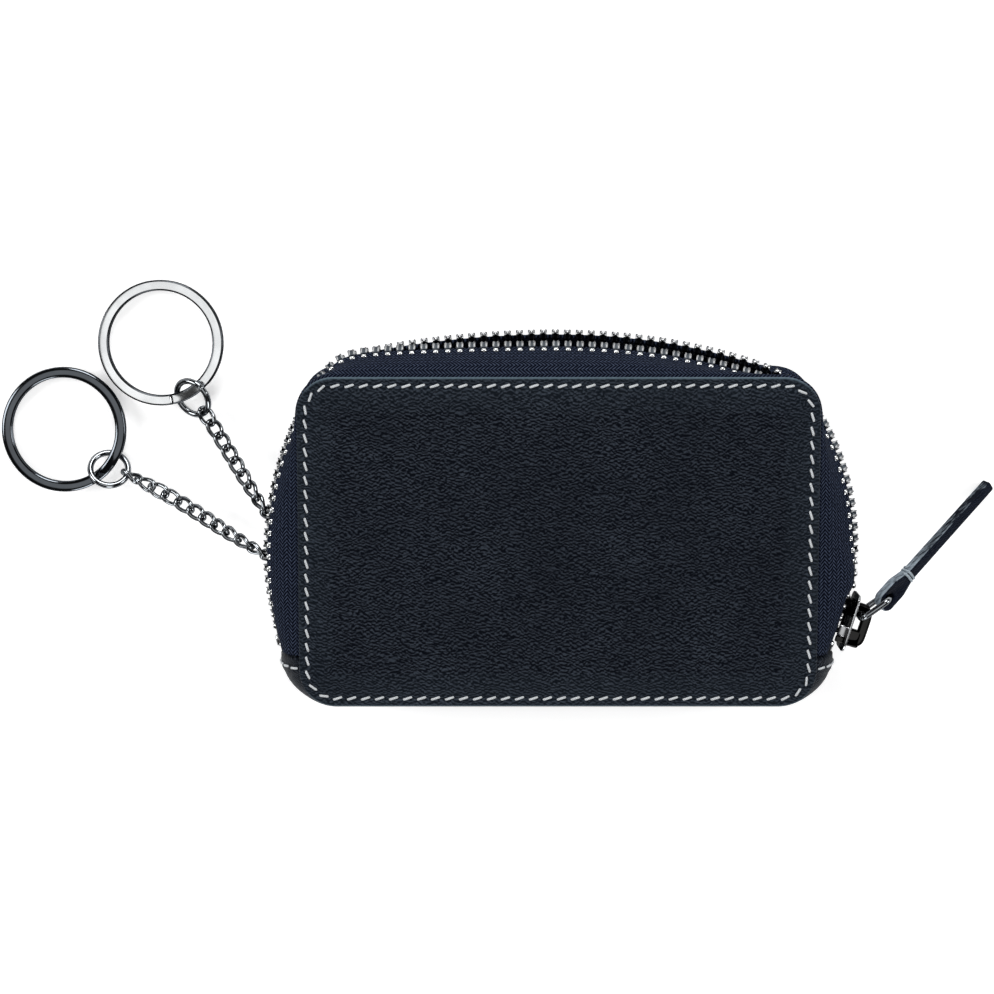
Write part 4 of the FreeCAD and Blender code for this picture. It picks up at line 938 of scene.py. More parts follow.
def stitch_shape(case):
    """One stitch: a thread that rises out of its hole, lies along and dips into the next, thinner at its
    ends."""
    at = np.linspace(-1, 1, 9)
    level = case.stitch_thick * (STITCH_RISE - STITCH_DIP * at ** 6)
    path = np.stack([at * case.stitch_length / 2, 0 * at, level], -1)
    radius = case.stitch_thick / 2 * np.sqrt(STITCH_FULL - STITCH_THIN * at ** 6)
    turn = np.arange(8) / 8 * 2 * np.pi
    oval = np.stack([0 * turn, np.cos(turn), STITCH_FLAT * np.sin(turn)], -1)
    points = path[:, None] + radius[:, None, None] * oval
    place = np.stack([np.broadcast_to(path[:, :1], points.shape[:2]),
                      np.broadcast_to(turn * case.stitch_thick / 2, points.shape[:2])], -1)
    return points.reshape(-1, 3), prism_faces(points), place.reshape(-1, 2)


def sew(name, spots, ahead, up, slant, case):
    """A row of stitches at spots, each turned by the slant about the way out of the leather."""
    aside = np.cross(up, ahead)
    way = ahead * np.cos(slant) + aside * np.sin(slant)
    frames = np.stack([way, np.cross(up, way), up], -1)
    base, faces, place = stitch_shape(case)
    points, listed = many(base, faces, spots, frames)
    return make_object(name, points, listed, [material("stitch_thread")], np.tile(place, (len(spots), 1)))


def make_stitches(front, case):
    """Stitches at an even pitch on a rounded rectangle inside the panel's edge."""
    inset = case.stitch_inset
    size = (case.panel_width / 2 - inset, case.panel_length / 2 - inset, case.panel_corner - inset)
    whole = outline_length(*size)
    count = int(whole / case.stitch_pitch)
    point, normal = rounded_outline(np.arange(count) / count * whole, *size)
    level = case.case_thick - case.groove if front else case.groove
    spots = np.concatenate([point, np.full((count, 1), level)], -1)
    ahead = np.stack([-normal[:, 1], normal[:, 0], 0 * normal[:, 0]], -1)
    up = np.broadcast_to([0.0, 0.0, 1.0 if front else -1.0], spots.shape)
    # all stitches lean the same way along the seam
    slant = np.full((count, 1), case.stitch_slant if front else -case.stitch_slant)
    row = sew(half_name(front) + "_stitches", spots, ahead, up, slant, case)
    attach(row, "case_" + half_name(front))


# Zip tapes and teeth

TAPE_STEP, ROW_STEP = 0.0006, 0.0003
BEAD_START, BEAD_RUN = 1.6, 0.0007
STOP_RIM = 0.0003


def zip_stations(case, zips, spacing):
    """Even distances along the panel's edge, from the zip's right end over the top to its left end."""
    start, end = zips.end_y, left_distance(zips.end_y, case)
    return np.linspace(start, end, int((end - start) / spacing))


def hold(piece, front):
    """The front half of the zip is baked in place and rides on no body; the back half rides on the back of
    the case.
    """
    if front:
        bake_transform(piece)
    else:
        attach(piece, "case_back")


def make_tape(front, case, zips):
    """Woven tape from the seam to the row, with a corded edge that the teeth grip."""
    distance = zip_stations(case, zips, TAPE_STEP)
    point, normal = panel_outline(distance, case)
    curve, _ = tape_wall(point, normal, front, case, zips, 18)
    near_edge = np.linalg.norm(curve - curve[:, -1:], axis=-1)
    swell = smooth_step(BEAD_START - near_edge / BEAD_RUN)
    half = zips.tape_thick / 2 + (zips.bead - zips.tape_thick / 2) * swell
    rings, across = strip_section(curve, half)
    points = lift(point, normal, rings, front, case)
    place = np.stack([np.broadcast_to(distance[:, None], across.shape), across], -1)
    name = half_name(front) + "_tape"
    tape = make_object(name, points, prism_faces(points), [material("zip_tape")], place)
    hold(tape, front)
    nodes = ("front_zip_tape", "front_tape_end") if front else ("back_zip_tape",)
    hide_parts(*nodes)


def row_frames(front, case, zips):
    """The row as a fine line: points of the tape's edge, the way past it and the distance run."""
    point, normal = panel_outline(zip_stations(case, zips, ROW_STEP), case)
    curve, past = tape_wall(point, normal, front, case, zips, 3)
    edge = lift(point, normal, curve[:, -1:], front, case)[:, 0]
    side = 1.0 if front else -1.0
    way = np.concatenate([normal * past[:, :1], side * past[:, 1:]], -1)
    return edge, way, run_length(edge)


def row_places(distance, edge, way, run):
    """Places and frames along a row: past the edge, across the tape, along the zip."""
    spot, past = sample(distance, run, edge), sample(distance, run, way)
    ahead = unit(sample(distance, run, np.gradient(edge, axis=0)))
    past = unit(past - (past * ahead).sum(-1, keepdims=True) * ahead)
    return spot, np.stack([past, np.cross(ahead, past), ahead], -1)


def clamp_shape(head, leg, thick, width, rim):
    """A tooth or stop: legs on the tape, a narrower waist and a round head, its rims rounded."""
    half = thick / 2
    outline = np.array([[-leg, -half * 0.72], [-leg * 0.82, -half], [-leg * 0.2, -half * 0.98],
                        [head * 0.12, -half * 0.7], [head * 0.42, -half * 0.8], [head * 0.78, -half * 0.66],
                        [head * 0.97, -half * 0.28]])
    outline = np.concatenate([outline, outline[::-1] * [1, -1]])
    rings = rounded_prism(outline, -width / 2, width / 2, rim, 1)
    return rings.reshape(-1, 3), prism_faces(rings)


def tooth_shape(zips):
    """A zip tooth as two mirrored faces: an end pad with a painted highlight, a groove and a broad head,
    the groove and the head's pocket with painted shade, rounded off. Returns points, faces and the metal of
    each face."""
    head, leg, half, wide = zips.tooth_head, zips.tooth_leg, zips.tooth_thick / 2, zips.tooth_width / 2
    x = np.array([-leg, -0.70 * leg, -0.52 * leg, 0.06 * head, 0.52 * head, 0.86 * head, head])
    rim = half * np.array([0.80, 1.00, 0.62, 0.80, 1.00, 0.78, 0.25])
    floor = half * np.array([0.80, 1.00, 0.62, 0.60, 0.15, 0.45, 0.25])
    width = wide * np.array([0.74, 0.80, 0.62, 0.92, 1.00, 0.66, 0.22])
    z = width[:, None] * np.array([-1.0, -0.5, 0.5, 1.0])
    middle = np.minimum(floor, rim)
    edge = rim * np.where(floor < rim * 0.9, 0.95, 0.62)
    y = np.stack([edge, middle, middle, edge], -1)
    top = np.stack([np.broadcast_to(x[:, None], z.shape), y, z], -1)
    points = np.concatenate([top.reshape(-1, 3), (top * [1, -1, 1]).reshape(-1, 3)])
    rows, columns = z.shape
    count, last_row = z.size, z.size - columns
    sheet = grid_faces(rows, columns)
    border = np.r_[np.arange(columns), np.arange(2 * columns - 1, last_row, columns),
                   np.arange(count - 1, last_row - 1, -1),
                   np.arange(last_row - columns, columns - 1, -columns)]
    after = np.roll(border, -1)
    around = np.stack([border, after, after + count, border + count], -1)
    # plain metal, a darker one for the painted shade in the groove and the pocket, a brighter one for the
    # painted highlight on the pad
    plain, dark, bright = 0, 1, 2
    metal = np.full((rows - 1, columns - 1), plain)
    metal[0] = bright
    metal[2] = dark
    metal[3:5, 1] = dark
    metal = np.r_[metal.ravel(), metal.ravel(), np.full(len(around), plain)]
    return points, np.concatenate([sheet, sheet[:, ::-1] + count, around]).tolist(), metal


def make_teeth(front, case, zips):
    """Teeth at an even pitch along a row; the front row starts half a pitch later, so the rows mesh."""
    edge, way, run = row_frames(front, case, zips)
    inset = zips.stop_width + zips.tooth_pitch / 2
    first = inset + zips.tooth_pitch / 2 if front else inset
    room = run[-1] - inset - zips.stop_width / 2 - first
    distance = first + np.arange(int(room / zips.tooth_pitch) + 1) * zips.tooth_pitch
    base, faces, metal = tooth_shape(zips)
    points, listed = many(base, faces, *row_places(distance, edge, way, run))
    # the teeth's plain metal, then the metals of the painted shade and the painted highlight
    metals = [material("zip_nickel"), material("painted_shade_nickel"), material("ring_nickel")]
    row = make_object(half_name(front) + "_teeth", points, listed, metals,
                      face_material=np.tile(metal, len(distance)))
    hold(row, front)
    nodes = ("front_zip_teeth", "front_teeth_end") if front else ("back_zip_teeth",)
    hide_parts(*nodes)


def make_stops(case, zips):
    """End stops: one on each row at the left, a pair at the slider's end."""
    base, faces = clamp_shape(zips.tooth_thick / 2 + zips.tape_thick, zips.tooth_leg,
                              zips.tooth_thick * 1.05, zips.stop_width, STOP_RIM)
    pairs = []
    for front, node in ((True, "zip_stop_left_front"), (False, "zip_stop_left_back")):
        line = row_frames(front, case, zips)
        spot, turn = row_places(np.array([line[2][-1] - zips.stop_width]), *line)
        stop = make_object(node + "_metal", *many(base, faces, spot, turn), [material("zip_nickel")])
        settle(stop, "case_" + half_name(front), "zip_metal", node)
        pairs.append(row_places(np.array([zips.stop_width / 2]), *line))
    spots = np.concatenate([pair[0] for pair in pairs])
    turns = np.concatenate([pair[1] for pair in pairs])
    stop = make_object("zip_stop_right_metal", *many(base, faces, spots, turns), [material("zip_nickel")])
    settle(stop, "case_back", "zip_metal", "zip_stop_right")


# Bottom gusset

GUSSET_STEP, GUSSET_HANDLE = 0.0006, 0.16
FOLD_WIDTH, FOLD_FADE, FOLD_EXTRA, END_ROUND = 0.0028, 0.0006, 0.0004, 0.0005
FOLD_SEAM, SEAM_START, SEAM_END, THREAD_RISE, FOLD_SLANT = 0.0022, 0.0016, 0.001, 0.00068, 0.08


def gusset_curve(point, normal, case, steps):
    """Centre line across the gusset from front seam to back seam: a cubic curve that bulges most at its
    sides."""
    bulge = case.gusset_side + (case.gusset_bottom - case.gusset_side) * smooth_step(-normal[:, 1])
    top = seam_height(case)
    handle = case.case_thick * GUSSET_HANDLE
    full = (bulge + case.layer_thick) * 4 / 3 - case.layer_thick
    first = np.broadcast_to([-case.layer_thick, top], (len(point), 2))
    second = np.stack([full, np.full(len(point), top - handle)], -1)
    flip = np.array([1, -1])
    curve = cubic(first, second, second * flip, first * flip, steps)
    flange = np.broadcast_to([-case.seam_width, top], (len(point), 1, 2))
    return np.concatenate([flange, curve, flange * flip], 1)


def make_gusset(case, zips):
    """Leather strip round the bottom, thicker where its two ends are folded over and sewn."""
    start = left_distance(zips.end_y - case.gusset_gap, case)
    end = outline_length(*panel_size(case)) + zips.end_y - case.gusset_gap
    distance = np.linspace(start, end, int((end - start) / GUSSET_STEP))
    point, normal = panel_outline(distance, case)
    curve = gusset_curve(point, normal, case, 30)
    from_end = np.minimum(distance - start, end - distance)
    half = case.layer_thick / 2 + FOLD_EXTRA * smooth_step(1 - (from_end - FOLD_WIDTH) / FOLD_FADE)
    half = half * np.sqrt(np.clip(from_end / END_ROUND, 0.04, 1))
    rings, _ = strip_section(curve, np.broadcast_to(half[:, None], curve.shape[:2]))
    points = lift(point, normal, rings, True, case)
    gusset = make_object("gusset_leather", points, prism_faces(points), [material("navy_leather")])
    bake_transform(gusset)
    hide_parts("bottom_gusset")
    # a row of stitches holds each folded end
    for side, at in (("left", start + FOLD_SEAM), ("right", end - FOLD_SEAM)):
        point, normal = panel_outline(np.array([at]), case)
        line = gusset_curve(point, normal, case, 200)[:, 1:-1]
        places = lift(point, normal, line, True, case)[0]
        run = run_length(places)
        wanted = np.arange(SEAM_START, run[-1] - SEAM_END, case.stitch_pitch)
        ahead = unit(sample(wanted, run, np.gradient(places, axis=0)))
        length_way = np.array([-normal[0, 1], normal[0, 0], 0.0])
        out = np.cross(ahead, length_way)
        out = unit(out * np.sign((out[:, :2] * normal).sum(-1, keepdims=True)))
        spots = sample(wanted, run, places) + out * THREAD_RISE
        slant = np.full((len(spots), 1), FOLD_SLANT)
        row = sew("gusset_stitches_" + side, spots, ahead, out, slant, case)
        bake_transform(row)


# Slider and pull

PLATE_STEP, SMALL_STEP = 0.0003, 0.0002
PLATE_RIM, SMALL_RIM, BRIDGE_RIM = 0.0004, 0.0001, 0.0003
POST_INSET, POST_LENGTH, POST_HALF = 0.001, 0.004, 0.0007
SIDE_FLOOR = -0.0005
BLOCK_END, BLOCK_SIDES = -0.0028, (0.0036, 0.0046)
FACE_ENDS, FACE_SIDES = (-0.0027, -0.0005), (0.0039, 0.00495)
BRIDGE_SUNK, BRIDGE_LEAN = 0.0002, 0.0004
STRAP_STEP, STRAP_RIM, STRAP_PLAY = 0.00025, 0.00016, 0.00002
BINDING_POWER, BINDING_SIDES = 0.55, 10


def slider_frame(case, zips, pull):
    """Turn and place of the slider: X out from the bow, Y along the zip to its mouth, Z across the rows."""
    turn = turned(pull.slider_angle)
    bow_x = case.panel_width / 2 + zips.right_rise - zips.right_radius
    centre = np.array([bow_x, zips.right_y, case.case_thick / 2])
    return turn, centre + turn[:, 0] * zips.right_radius


def put_together(pieces):
    """Points and faces of several shells as one list."""
    points, faces, count = [], [], 0
    for rings in pieces:
        points.append(rings.reshape(-1, 3))
        faces += [[corner + count for corner in face] for face in prism_faces(rings)]
        count += points[-1].shape[0]
    return np.concatenate(points), faces


def make_slider(case, zips, pull):
    """Two rounded plates, a post between the rows and four turned-in flanges; a flat bridge over them."""
    turn, centre = slider_frame(case, zips, pull)
    rear, mouth = -pull.slider_length / 2, pull.slider_length / 2
    low, high = rear + pull.shoulder / 2, mouth - pull.shoulder
    upper = [(rear, pull.rear_half), (low, pull.mouth_half), (high, pull.mouth_half),
             (mouth, pull.rear_half)]
    corners = [(y, -z) for y, z in upper] + upper[::-1]
    outline = soft_polygon(corners, PLATE_STEP, 22)
    inner, outer = pull.channel_half, pull.channel_half + pull.plate
    lip = inner + pull.lip
    shells = [rounded_prism(outline, -outer, -inner, PLATE_RIM, 4)]
    tip = mouth - POST_INSET
    waist = tip - POST_LENGTH / 2
    post = [(tip - POST_LENGTH, 0.0), (waist, -POST_HALF), (tip, 0.0), (waist, POST_HALF)]
    shells.append(rounded_prism(soft_polygon(post, SMALL_STEP, 3), -inner, inner, SMALL_RIM / 2, 1))
    for side in (1, -1):
        edges = sorted((side * pull.mouth_half, side * (pull.mouth_half - pull.flange)))
        box = soft_polygon(box_corners(low, pull.flange_top, *edges), SMALL_STEP, 3)
        shells.append(rounded_prism(box, pull.slot_half, inner + SMALL_RIM, SMALL_RIM, 1))
        shells.append(rounded_prism(box, -inner - SMALL_RIM, -pull.slot_half, SMALL_RIM, 1))
    block = soft_polygon(box_corners(low, BLOCK_END, *BLOCK_SIDES), SMALL_STEP, 2)
    shells.append(rounded_prism(block, SIDE_FLOOR, inner, 2 * SMALL_RIM, 2))
    dark = len(put_together(shells)[1])
    # the outer plate's thin rim and the flange face that faces the front take the lighter zip nickel as a
    # painted highlight
    shells.append(rounded_prism(outline, inner, lip, SMALL_RIM, 2))
    face = soft_polygon(box_corners(*FACE_ENDS, *FACE_SIDES), SMALL_STEP, 1)
    shells.append(rounded_prism(face, SIDE_FLOOR, inner, SMALL_RIM, 1))
    points, faces = put_together(shells)
    painted_highlight_faces = (np.arange(len(faces)) >= dark).astype(np.int64)
    # prisms are drawn with their height along Z; the slider's height is along X
    points = points[:, [2, 0, 1]] @ turn.T + centre
    metals = [material("dark_nickel"), material("zip_nickel")]
    body = make_object("slider_body", points, faces, metals, face_material=painted_highlight_faces)
    settle(body, "slider", "slider_metal", "zip_slider")
    half = pull.bridge_thick / 2
    base, top = lip - BRIDGE_SUNK, outer + pull.bridge_rise - half
    foot, head = -pull.bridge_low + half, pull.bridge_high - half
    arch = [(base, foot), (top, foot + BRIDGE_LEAN), (top, head - BRIDGE_LEAN), (base, head)]
    line = soft_polygon(arch, PLATE_STEP, 14, False)
    path = np.concatenate([line, np.zeros((len(line), 1))], -1)
    ahead = along_path(path, False)
    across = np.broadcast_to([0.0, 0.0, 1.0], path.shape)
    section = rounded_box(pull.bridge_width, pull.bridge_thick, BRIDGE_RIM)
    rings = sweep(path, across, np.cross(ahead, across), section)
    # solid feet under both ends of the bridge
    blocks = [rings]
    for start, end in ((foot - half * 0.8, -pull.bridge_foot), (pull.bridge_shoulder, head + half * 0.8)):
        shape = soft_polygon(box_corners(base, top, start, end), SMALL_STEP, 8)
        blocks.append(rounded_prism(shape, -pull.bridge_width / 2, pull.bridge_width / 2, BRIDGE_RIM, 3))
    points, faces = put_together(blocks)
    bridge = make_object("slider_bridge_metal", points @ turn.T + centre, faces, [material("dark_nickel")])
    settle(bridge, "slider", "slider_metal", "slider_bridge")


def link_frame(case, zips, pull):
    """Turn and place of the pull link: its heading about Z, at its seat on the slider's bridge."""
    turn, centre = slider_frame(case, zips, pull)
    seat = np.array([pull.channel_half + pull.plate + pull.link_seat, pull.link_along, 0.0])
    return turned(pull.link_heading), centre + turn @ seat


def make_pull_link(case, zips, pull):
    """A wire loop: a rounded rectangle that stands upright and runs from the bridge to the strap."""
    turn, seat = link_frame(case, zips, pull)
    size = (pull.link_reach / 2, pull.link_half, pull.link_corner)
    flat, normal = rounded_outline(np.arange(96) / 96 * outline_length(*size), *size)
    path = np.stack([flat[:, 0] + pull.link_reach / 2, 0 * flat[:, 0], flat[:, 1]], -1)
    aside = np.stack([normal[:, 0], 0 * normal[:, 0], normal[:, 1]], -1)
    rings = wire(path, aside, pull.link_wire / 2, 14) @ turn.T + seat
    faces = loop_faces(rings)
    link = make_object("pull_link_wire", rings, faces, [material("chain_nickel")])
    settle(link, "pull_link", "slider_metal", "pull_link")


def strap_frame(case, zips, pull):
    """Turn and place of the strap: heading about Z, pitch about its width, roll about its length."""
    turn, seat = link_frame(case, zips, pull)
    hole = seat + turn[:, 0] * pull.link_reach
    c, s = np.cos(pull.strap_pitch), np.sin(pull.strap_pitch)
    pitch = np.array([[c, 0, s], [0, 1, 0], [-s, 0, c]])
    c, s = np.cos(pull.strap_roll), np.sin(pull.strap_roll)
    roll = np.array([[1, 0, 0], [0, c, -s], [0, s, c]])
    return turned(pull.strap_heading) @ pitch @ roll, hole


def cut_hole(thing, radius, height):
    """Take a round hole along Z out of a flat piece at the origin."""
    rings = rounded_prism(circle(radius, 40), -height, height, 0.00001, 1)
    cutter = make_object("cutter", rings, prism_faces(rings), [])
    change = thing.modifiers.new("hole", "BOOLEAN")
    change.object = cutter
    change.operation = "DIFFERENCE"
    change.solver = "EXACT"
    bpy.context.view_layer.update()
    mesh = bpy.data.meshes.new_from_object(thing.evaluated_get(bpy.context.evaluated_depsgraph_get()))
    thing.modifiers.clear()
    old, thing.data = thing.data, mesh
    bpy.data.meshes.remove(old)
    bpy.data.objects.remove(cutter)


def make_strap(case, zips, pull):
    """Two layers of leather with pale cut edges, one on the other, and thread wound round the neck."""
    turn, hole = strap_frame(case, zips, pull)
    upper = [(-pull.strap_back, pull.strap_end_half),
             (pull.strap_end_half - pull.strap_back, pull.strap_paddle_half),
             (pull.strap_paddle, pull.strap_paddle_half), (pull.strap_neck, pull.strap_neck_half),
             (pull.strap_tail, pull.strap_tail_half)]
    corners = [(x, -y) for x, y in upper] + upper[::-1]
    outline = soft_polygon(corners, STRAP_STEP, 3)
    leather = [material("pull_leather"), material("pull_edge")]
    for name, low in (("top", 0.0), ("under", -pull.strap_layer)):
        rings = rounded_prism(outline, low + STRAP_PLAY, low + pull.strap_layer - STRAP_PLAY, STRAP_RIM, 3)
        faces = prism_faces(rings)
        sides = np.array([1 if len(face) == 4 else 0 for face in faces])
        layer = make_object("pull_%s_leather" % name, rings, faces, leather, face_material=sides)
        cut_hole(layer, pull.strap_hole / 2, 0.005)
        points = np.empty(len(layer.data.vertices) * 3)
        layer.data.vertices.foreach_get("co", points)
        points = points.reshape(-1, 3) @ turn.T + hole
        layer.data.vertices.foreach_set("co", points.ravel())
        layer.data.update()
        settle(layer, "pull_strap", "pull_leather", "pull_strap_" + name)
    # the thread runs round a flat oval while it moves along
    rounds = np.linspace(0, pull.binding_turns, pull.binding_turns * 40 + 1)
    around = rounds * 2 * np.pi
    half_wide = pull.strap_neck_half + pull.binding_thread * 0.3
    half_high = pull.strap_layer + pull.binding_thread * 0.3
    y = half_wide * fuller(np.cos(around), BINDING_POWER)
    z = half_high * fuller(np.sin(around), BINDING_POWER)
    x = pull.strap_neck + pull.binding_width * (rounds / pull.binding_turns - 0.5)
    path = np.stack([x, y, z], -1)
    rings = wire(path, np.stack([0 * x, y, z], -1), pull.binding_thread / 2, BINDING_SIDES, False)
    sides = np.arange(BINDING_SIDES) / BINDING_SIDES * np.pi * pull.binding_thread
    place = np.stack(np.broadcast_arrays(run_length(path)[:, None], sides[None]), -1)
    rings = rings @ turn.T + hole
    thread = make_object("pull_binding", rings, prism_faces(rings), [material("binding_thread")], place)
    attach(thread, "pull_strap")


# Anchor, chains and rings

TAB_THICK, TAB_RIM, TAB_STEP = 0.0009, 0.0002, 0.0003
TAB_FOLD, TAB_WRAP, TAB_PINCH, TAB_PINCH_RISE, TAB_FLAT = 0.001, 0.5, 0.0035, 0.0002, 0.005
JUMP_SLIT, JUMP_SLIT_PLACE = 0.02, 100
KEY_RING_END, DOME_POWER = 0.004, 0.85


def anchor_centre():
    """Middle of the frame's anchor ring."""
    low, high = (np.array(corner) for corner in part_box("anchor_ring"))
    return (low + high) / 2


def make_anchor(chain):
    """Ring of round wire in a leather tab that is folded round it."""
    centre = anchor_centre()
    turn = np.arange(72) / 72 * 2 * np.pi
    aside = np.stack([np.cos(turn), np.sin(turn), 0 * turn], -1)
    rings = wire(centre + aside * chain.anchor_radius, aside, chain.anchor_wire / 2, 14)
    faces = loop_faces(rings)
    ring = make_object("anchor_ring_wire", rings, faces, [material("ring_nickel")])
    settle(ring, "case_back", "ring_metal", "anchor_ring")
    # the tab: up from its lower leaf, round the wire and back along the upper leaf
    low, high = (np.array(corner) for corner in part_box("anchor_tab"))
    thick, width = TAB_THICK, high[1] - low[1]
    drum = (high[2] - low[2] - thick) / 2
    middle_x, middle_z = centre[0] + chain.anchor_radius, centre[2]
    bend = np.linspace(-np.pi / 2, -3 * np.pi / 2 - TAB_WRAP, 30)
    loop = np.stack([middle_x + drum * np.cos(bend), middle_z + drum * np.sin(bend)], -1)
    bottom, upper = low[2] + thick / 2, low[2] + thick * 1.5
    lower_leaf = [[high[0], bottom], [middle_x + TAB_FOLD, bottom]]
    upper_leaf = [[middle_x + TAB_PINCH, upper + TAB_PINCH_RISE], [middle_x + TAB_FLAT, upper],
                  [high[0], upper]]
    line = np.concatenate([lower_leaf, loop, upper_leaf])
    line = soft_polygon(line, TAB_STEP, 5, False)
    path = np.stack([line[:, 0], np.full(len(line), centre[1]), line[:, 1]], -1)
    ahead = along_path(path, False)
    across = np.broadcast_to([0.0, 1.0, 0.0], path.shape)
    rings = sweep(path, across, np.cross(ahead, across), rounded_box(width, thick, TAB_RIM))
    tab = make_object("anchor_tab_leather", rings, prism_faces(rings), [material("navy_leather")])
    settle(tab, "case_back", "navy_leather", "anchor_tab")


def joint_places(name, frame_joints):
    """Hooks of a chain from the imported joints: every link's joint and then the jump ring's."""
    links = sorted(j["name"] for j in frame_joints if j["name"].startswith("chain_%s_" % name))
    by_name = {j["name"]: np.array(j["pos_m"]) for j in frame_joints}
    return np.array([by_name[link] for link in links] + [by_name["jump_%s_lift" % name]])


def link_rings(chain):
    """A curb link: a full oval of round wire, twisted along its length."""
    half = (chain.pitch + chain.wire + chain.slack) / 2
    turn = np.arange(44) / 44 * 2 * np.pi
    reach = half * fuller(np.cos(turn), chain.oval_share)
    aside = chain.half_width * fuller(np.sin(turn), chain.oval_share)
    twist = chain.twist * reach / half
    path = np.stack([reach, aside * np.cos(twist), aside * np.sin(twist)], -1)
    return wire(path, path, chain.wire / 2, 12)


def jump_tilt(name, chain):
    """The two jump rings lean opposite ways."""
    return chain.jump_tilt if name == "a" else -chain.jump_tilt


def make_chain(name, chain):
    """Links half way between neighbouring hooks, each rolled about the line to the next hook."""
    hooks = joint_places(name, frame["record"]["behaviour"]["joints"])
    count = len(hooks) - 1
    ahead = unit(np.diff(hooks, axis=0))
    side = unit(np.cross([0.0, 0.0, 1.0], ahead))
    up = np.cross(ahead, side)
    tilt = jump_tilt(name, chain)
    last = np.pi / 2 - chain.twist - tilt
    inside = getattr(chain, "inside_" + name)
    flat = inside + chain.turn_share
    knots = (0.0, inside, flat, (flat + 1.0) / 2, 1.0)
    rolls = (chain.twist - np.pi / 2, chain.edge_roll, 0.0, 0.0, last)
    roll = np.interp(np.linspace(0.0, 1.0, count), knots, rolls)[:, None]
    turned_side = side * np.cos(roll) + up * np.sin(roll)
    turned_up = up * np.cos(roll) - side * np.sin(roll)
    frames = np.stack([ahead, turned_side, turned_up], -1)
    centres = (hooks[:-1] + hooks[1:]) / 2
    base = link_rings(chain)
    faces = loop_faces(base)
    for index in range(count):
        points = base @ frames[index].T + centres[index]
        label = (name, index + 1)
        link = make_object("chain_%s_wire_%02d" % label, points, faces, [material("chain_nickel")])
        settle(link, "chain_%s_%02d" % label, "ring_metal", "chain_%s_link_%02d" % label)
    return hooks


def make_jump_ring(name, hooks, chain):
    """Round wire ring with a fine slit, tilted about the line to its chain."""
    heading = getattr(chain, "jump_%s_heading" % name)
    towards = np.array([np.cos(heading), np.sin(heading), 0.0])
    wire_place = hooks[-1] - unit(hooks[-1] - hooks[-2]) * (chain.jump_wire + chain.slack) / 2
    centre = wire_place + towards * chain.jump_radius
    centre[2] = chain.jump_lift
    tilt = jump_tilt(name, chain)
    out = -towards
    climb = np.cross([0.0, 0.0, 1.0], out) * np.cos(tilt) + np.array([0.0, 0.0, np.sin(tilt)])
    turn = np.linspace(JUMP_SLIT, 2 * np.pi - JUMP_SLIT, 90)[:, None] + np.radians(JUMP_SLIT_PLACE)
    aside = out * np.cos(turn) + climb * np.sin(turn)
    rings = wire(centre + aside * chain.jump_radius, aside, chain.jump_wire / 2, 14, False)
    ring = make_object("jump_ring_%s_wire" % name, rings, prism_faces(rings), [material("chain_nickel")])
    settle(ring, "jump_" + name, "ring_metal", "jump_ring_" + name)
    return centre


def make_key_ring(name, seat, chain):
    """Two turns of flat wire: level, a smooth step up at the jump ring, then level again."""
    heading = getattr(chain, "ring_%s_bearing" % name)
    reach = getattr(chain, "ring_%s_reach" % name)
    out = np.array([np.cos(heading), np.sin(heading), 0.0])
    along = out * np.cos(chain.ring_tilt) + np.array([0.0, 0.0, np.sin(chain.ring_tilt)])
    side = np.cross([0.0, 0.0, 1.0], out)
    frame_turn = np.stack([along, side, np.cross(along, side)], -1)
    height = chain.ring_coil + chain.ring_gap / 2 + chain.ring_diameter / 2 * np.sin(chain.ring_tilt)
    centre = np.array([seat[0] - out[0] * reach, seat[1] - out[1] * reach, height])
    half = chain.ring_jog / 2
    turn = np.linspace(half + KEY_RING_END, 4 * np.pi - half - KEY_RING_END, 300)
    level = (chain.ring_coil + chain.ring_gap) / 2
    rise = level * (2 * smooth_step((turn - 2 * np.pi + half) / (2 * half)) - 1)
    middle = (chain.ring_diameter - chain.ring_band) / 2
    aside = np.stack([np.cos(turn), np.sin(turn), 0 * turn], -1)
    path = aside * middle + np.stack([0 * turn, 0 * turn, rise], -1)
    up = np.broadcast_to([0.0, 0.0, 1.0], path.shape)
    # ring A is flat on top, its rounded rims in near-black nickel as painted shade; ring B is domed and all
    # in the darker nickel as painted shade
    section = rounded_box(chain.ring_band, chain.ring_coil, chain.ring_round)
    metals = [material("painted_dark_rim_nickel"), material("ring_nickel")]
    is_flat = np.isin(np.arange(len(section)), (3, 11))
    if name == "b":
        section = fuller(circle(1.0, 20), DOME_POWER) * [chain.ring_band / 2, chain.ring_coil / 2]
        metals = [material("painted_shade_nickel")]
        is_flat = np.zeros(len(section), dtype=bool)
    rings = sweep(path, -aside, up, section) @ frame_turn.T + centre
    faces = prism_faces(rings)
    metal = np.zeros(len(faces), dtype=np.int64)
    metal[:-2] = np.tile(is_flat, len(path) - 1)
    ring = make_object("key_ring_%s_wire" % name, rings, faces, metals, face_material=metal)
    settle(ring, "key_" + name, "ring_metal", "key_ring_" + name)


# Inside of the case

LINING_RINGS, LINING_EDGE, LINING_SOFT, LINING_FLAT = 20, 0.0001, 0.0005, (0.0045, 0.0066)


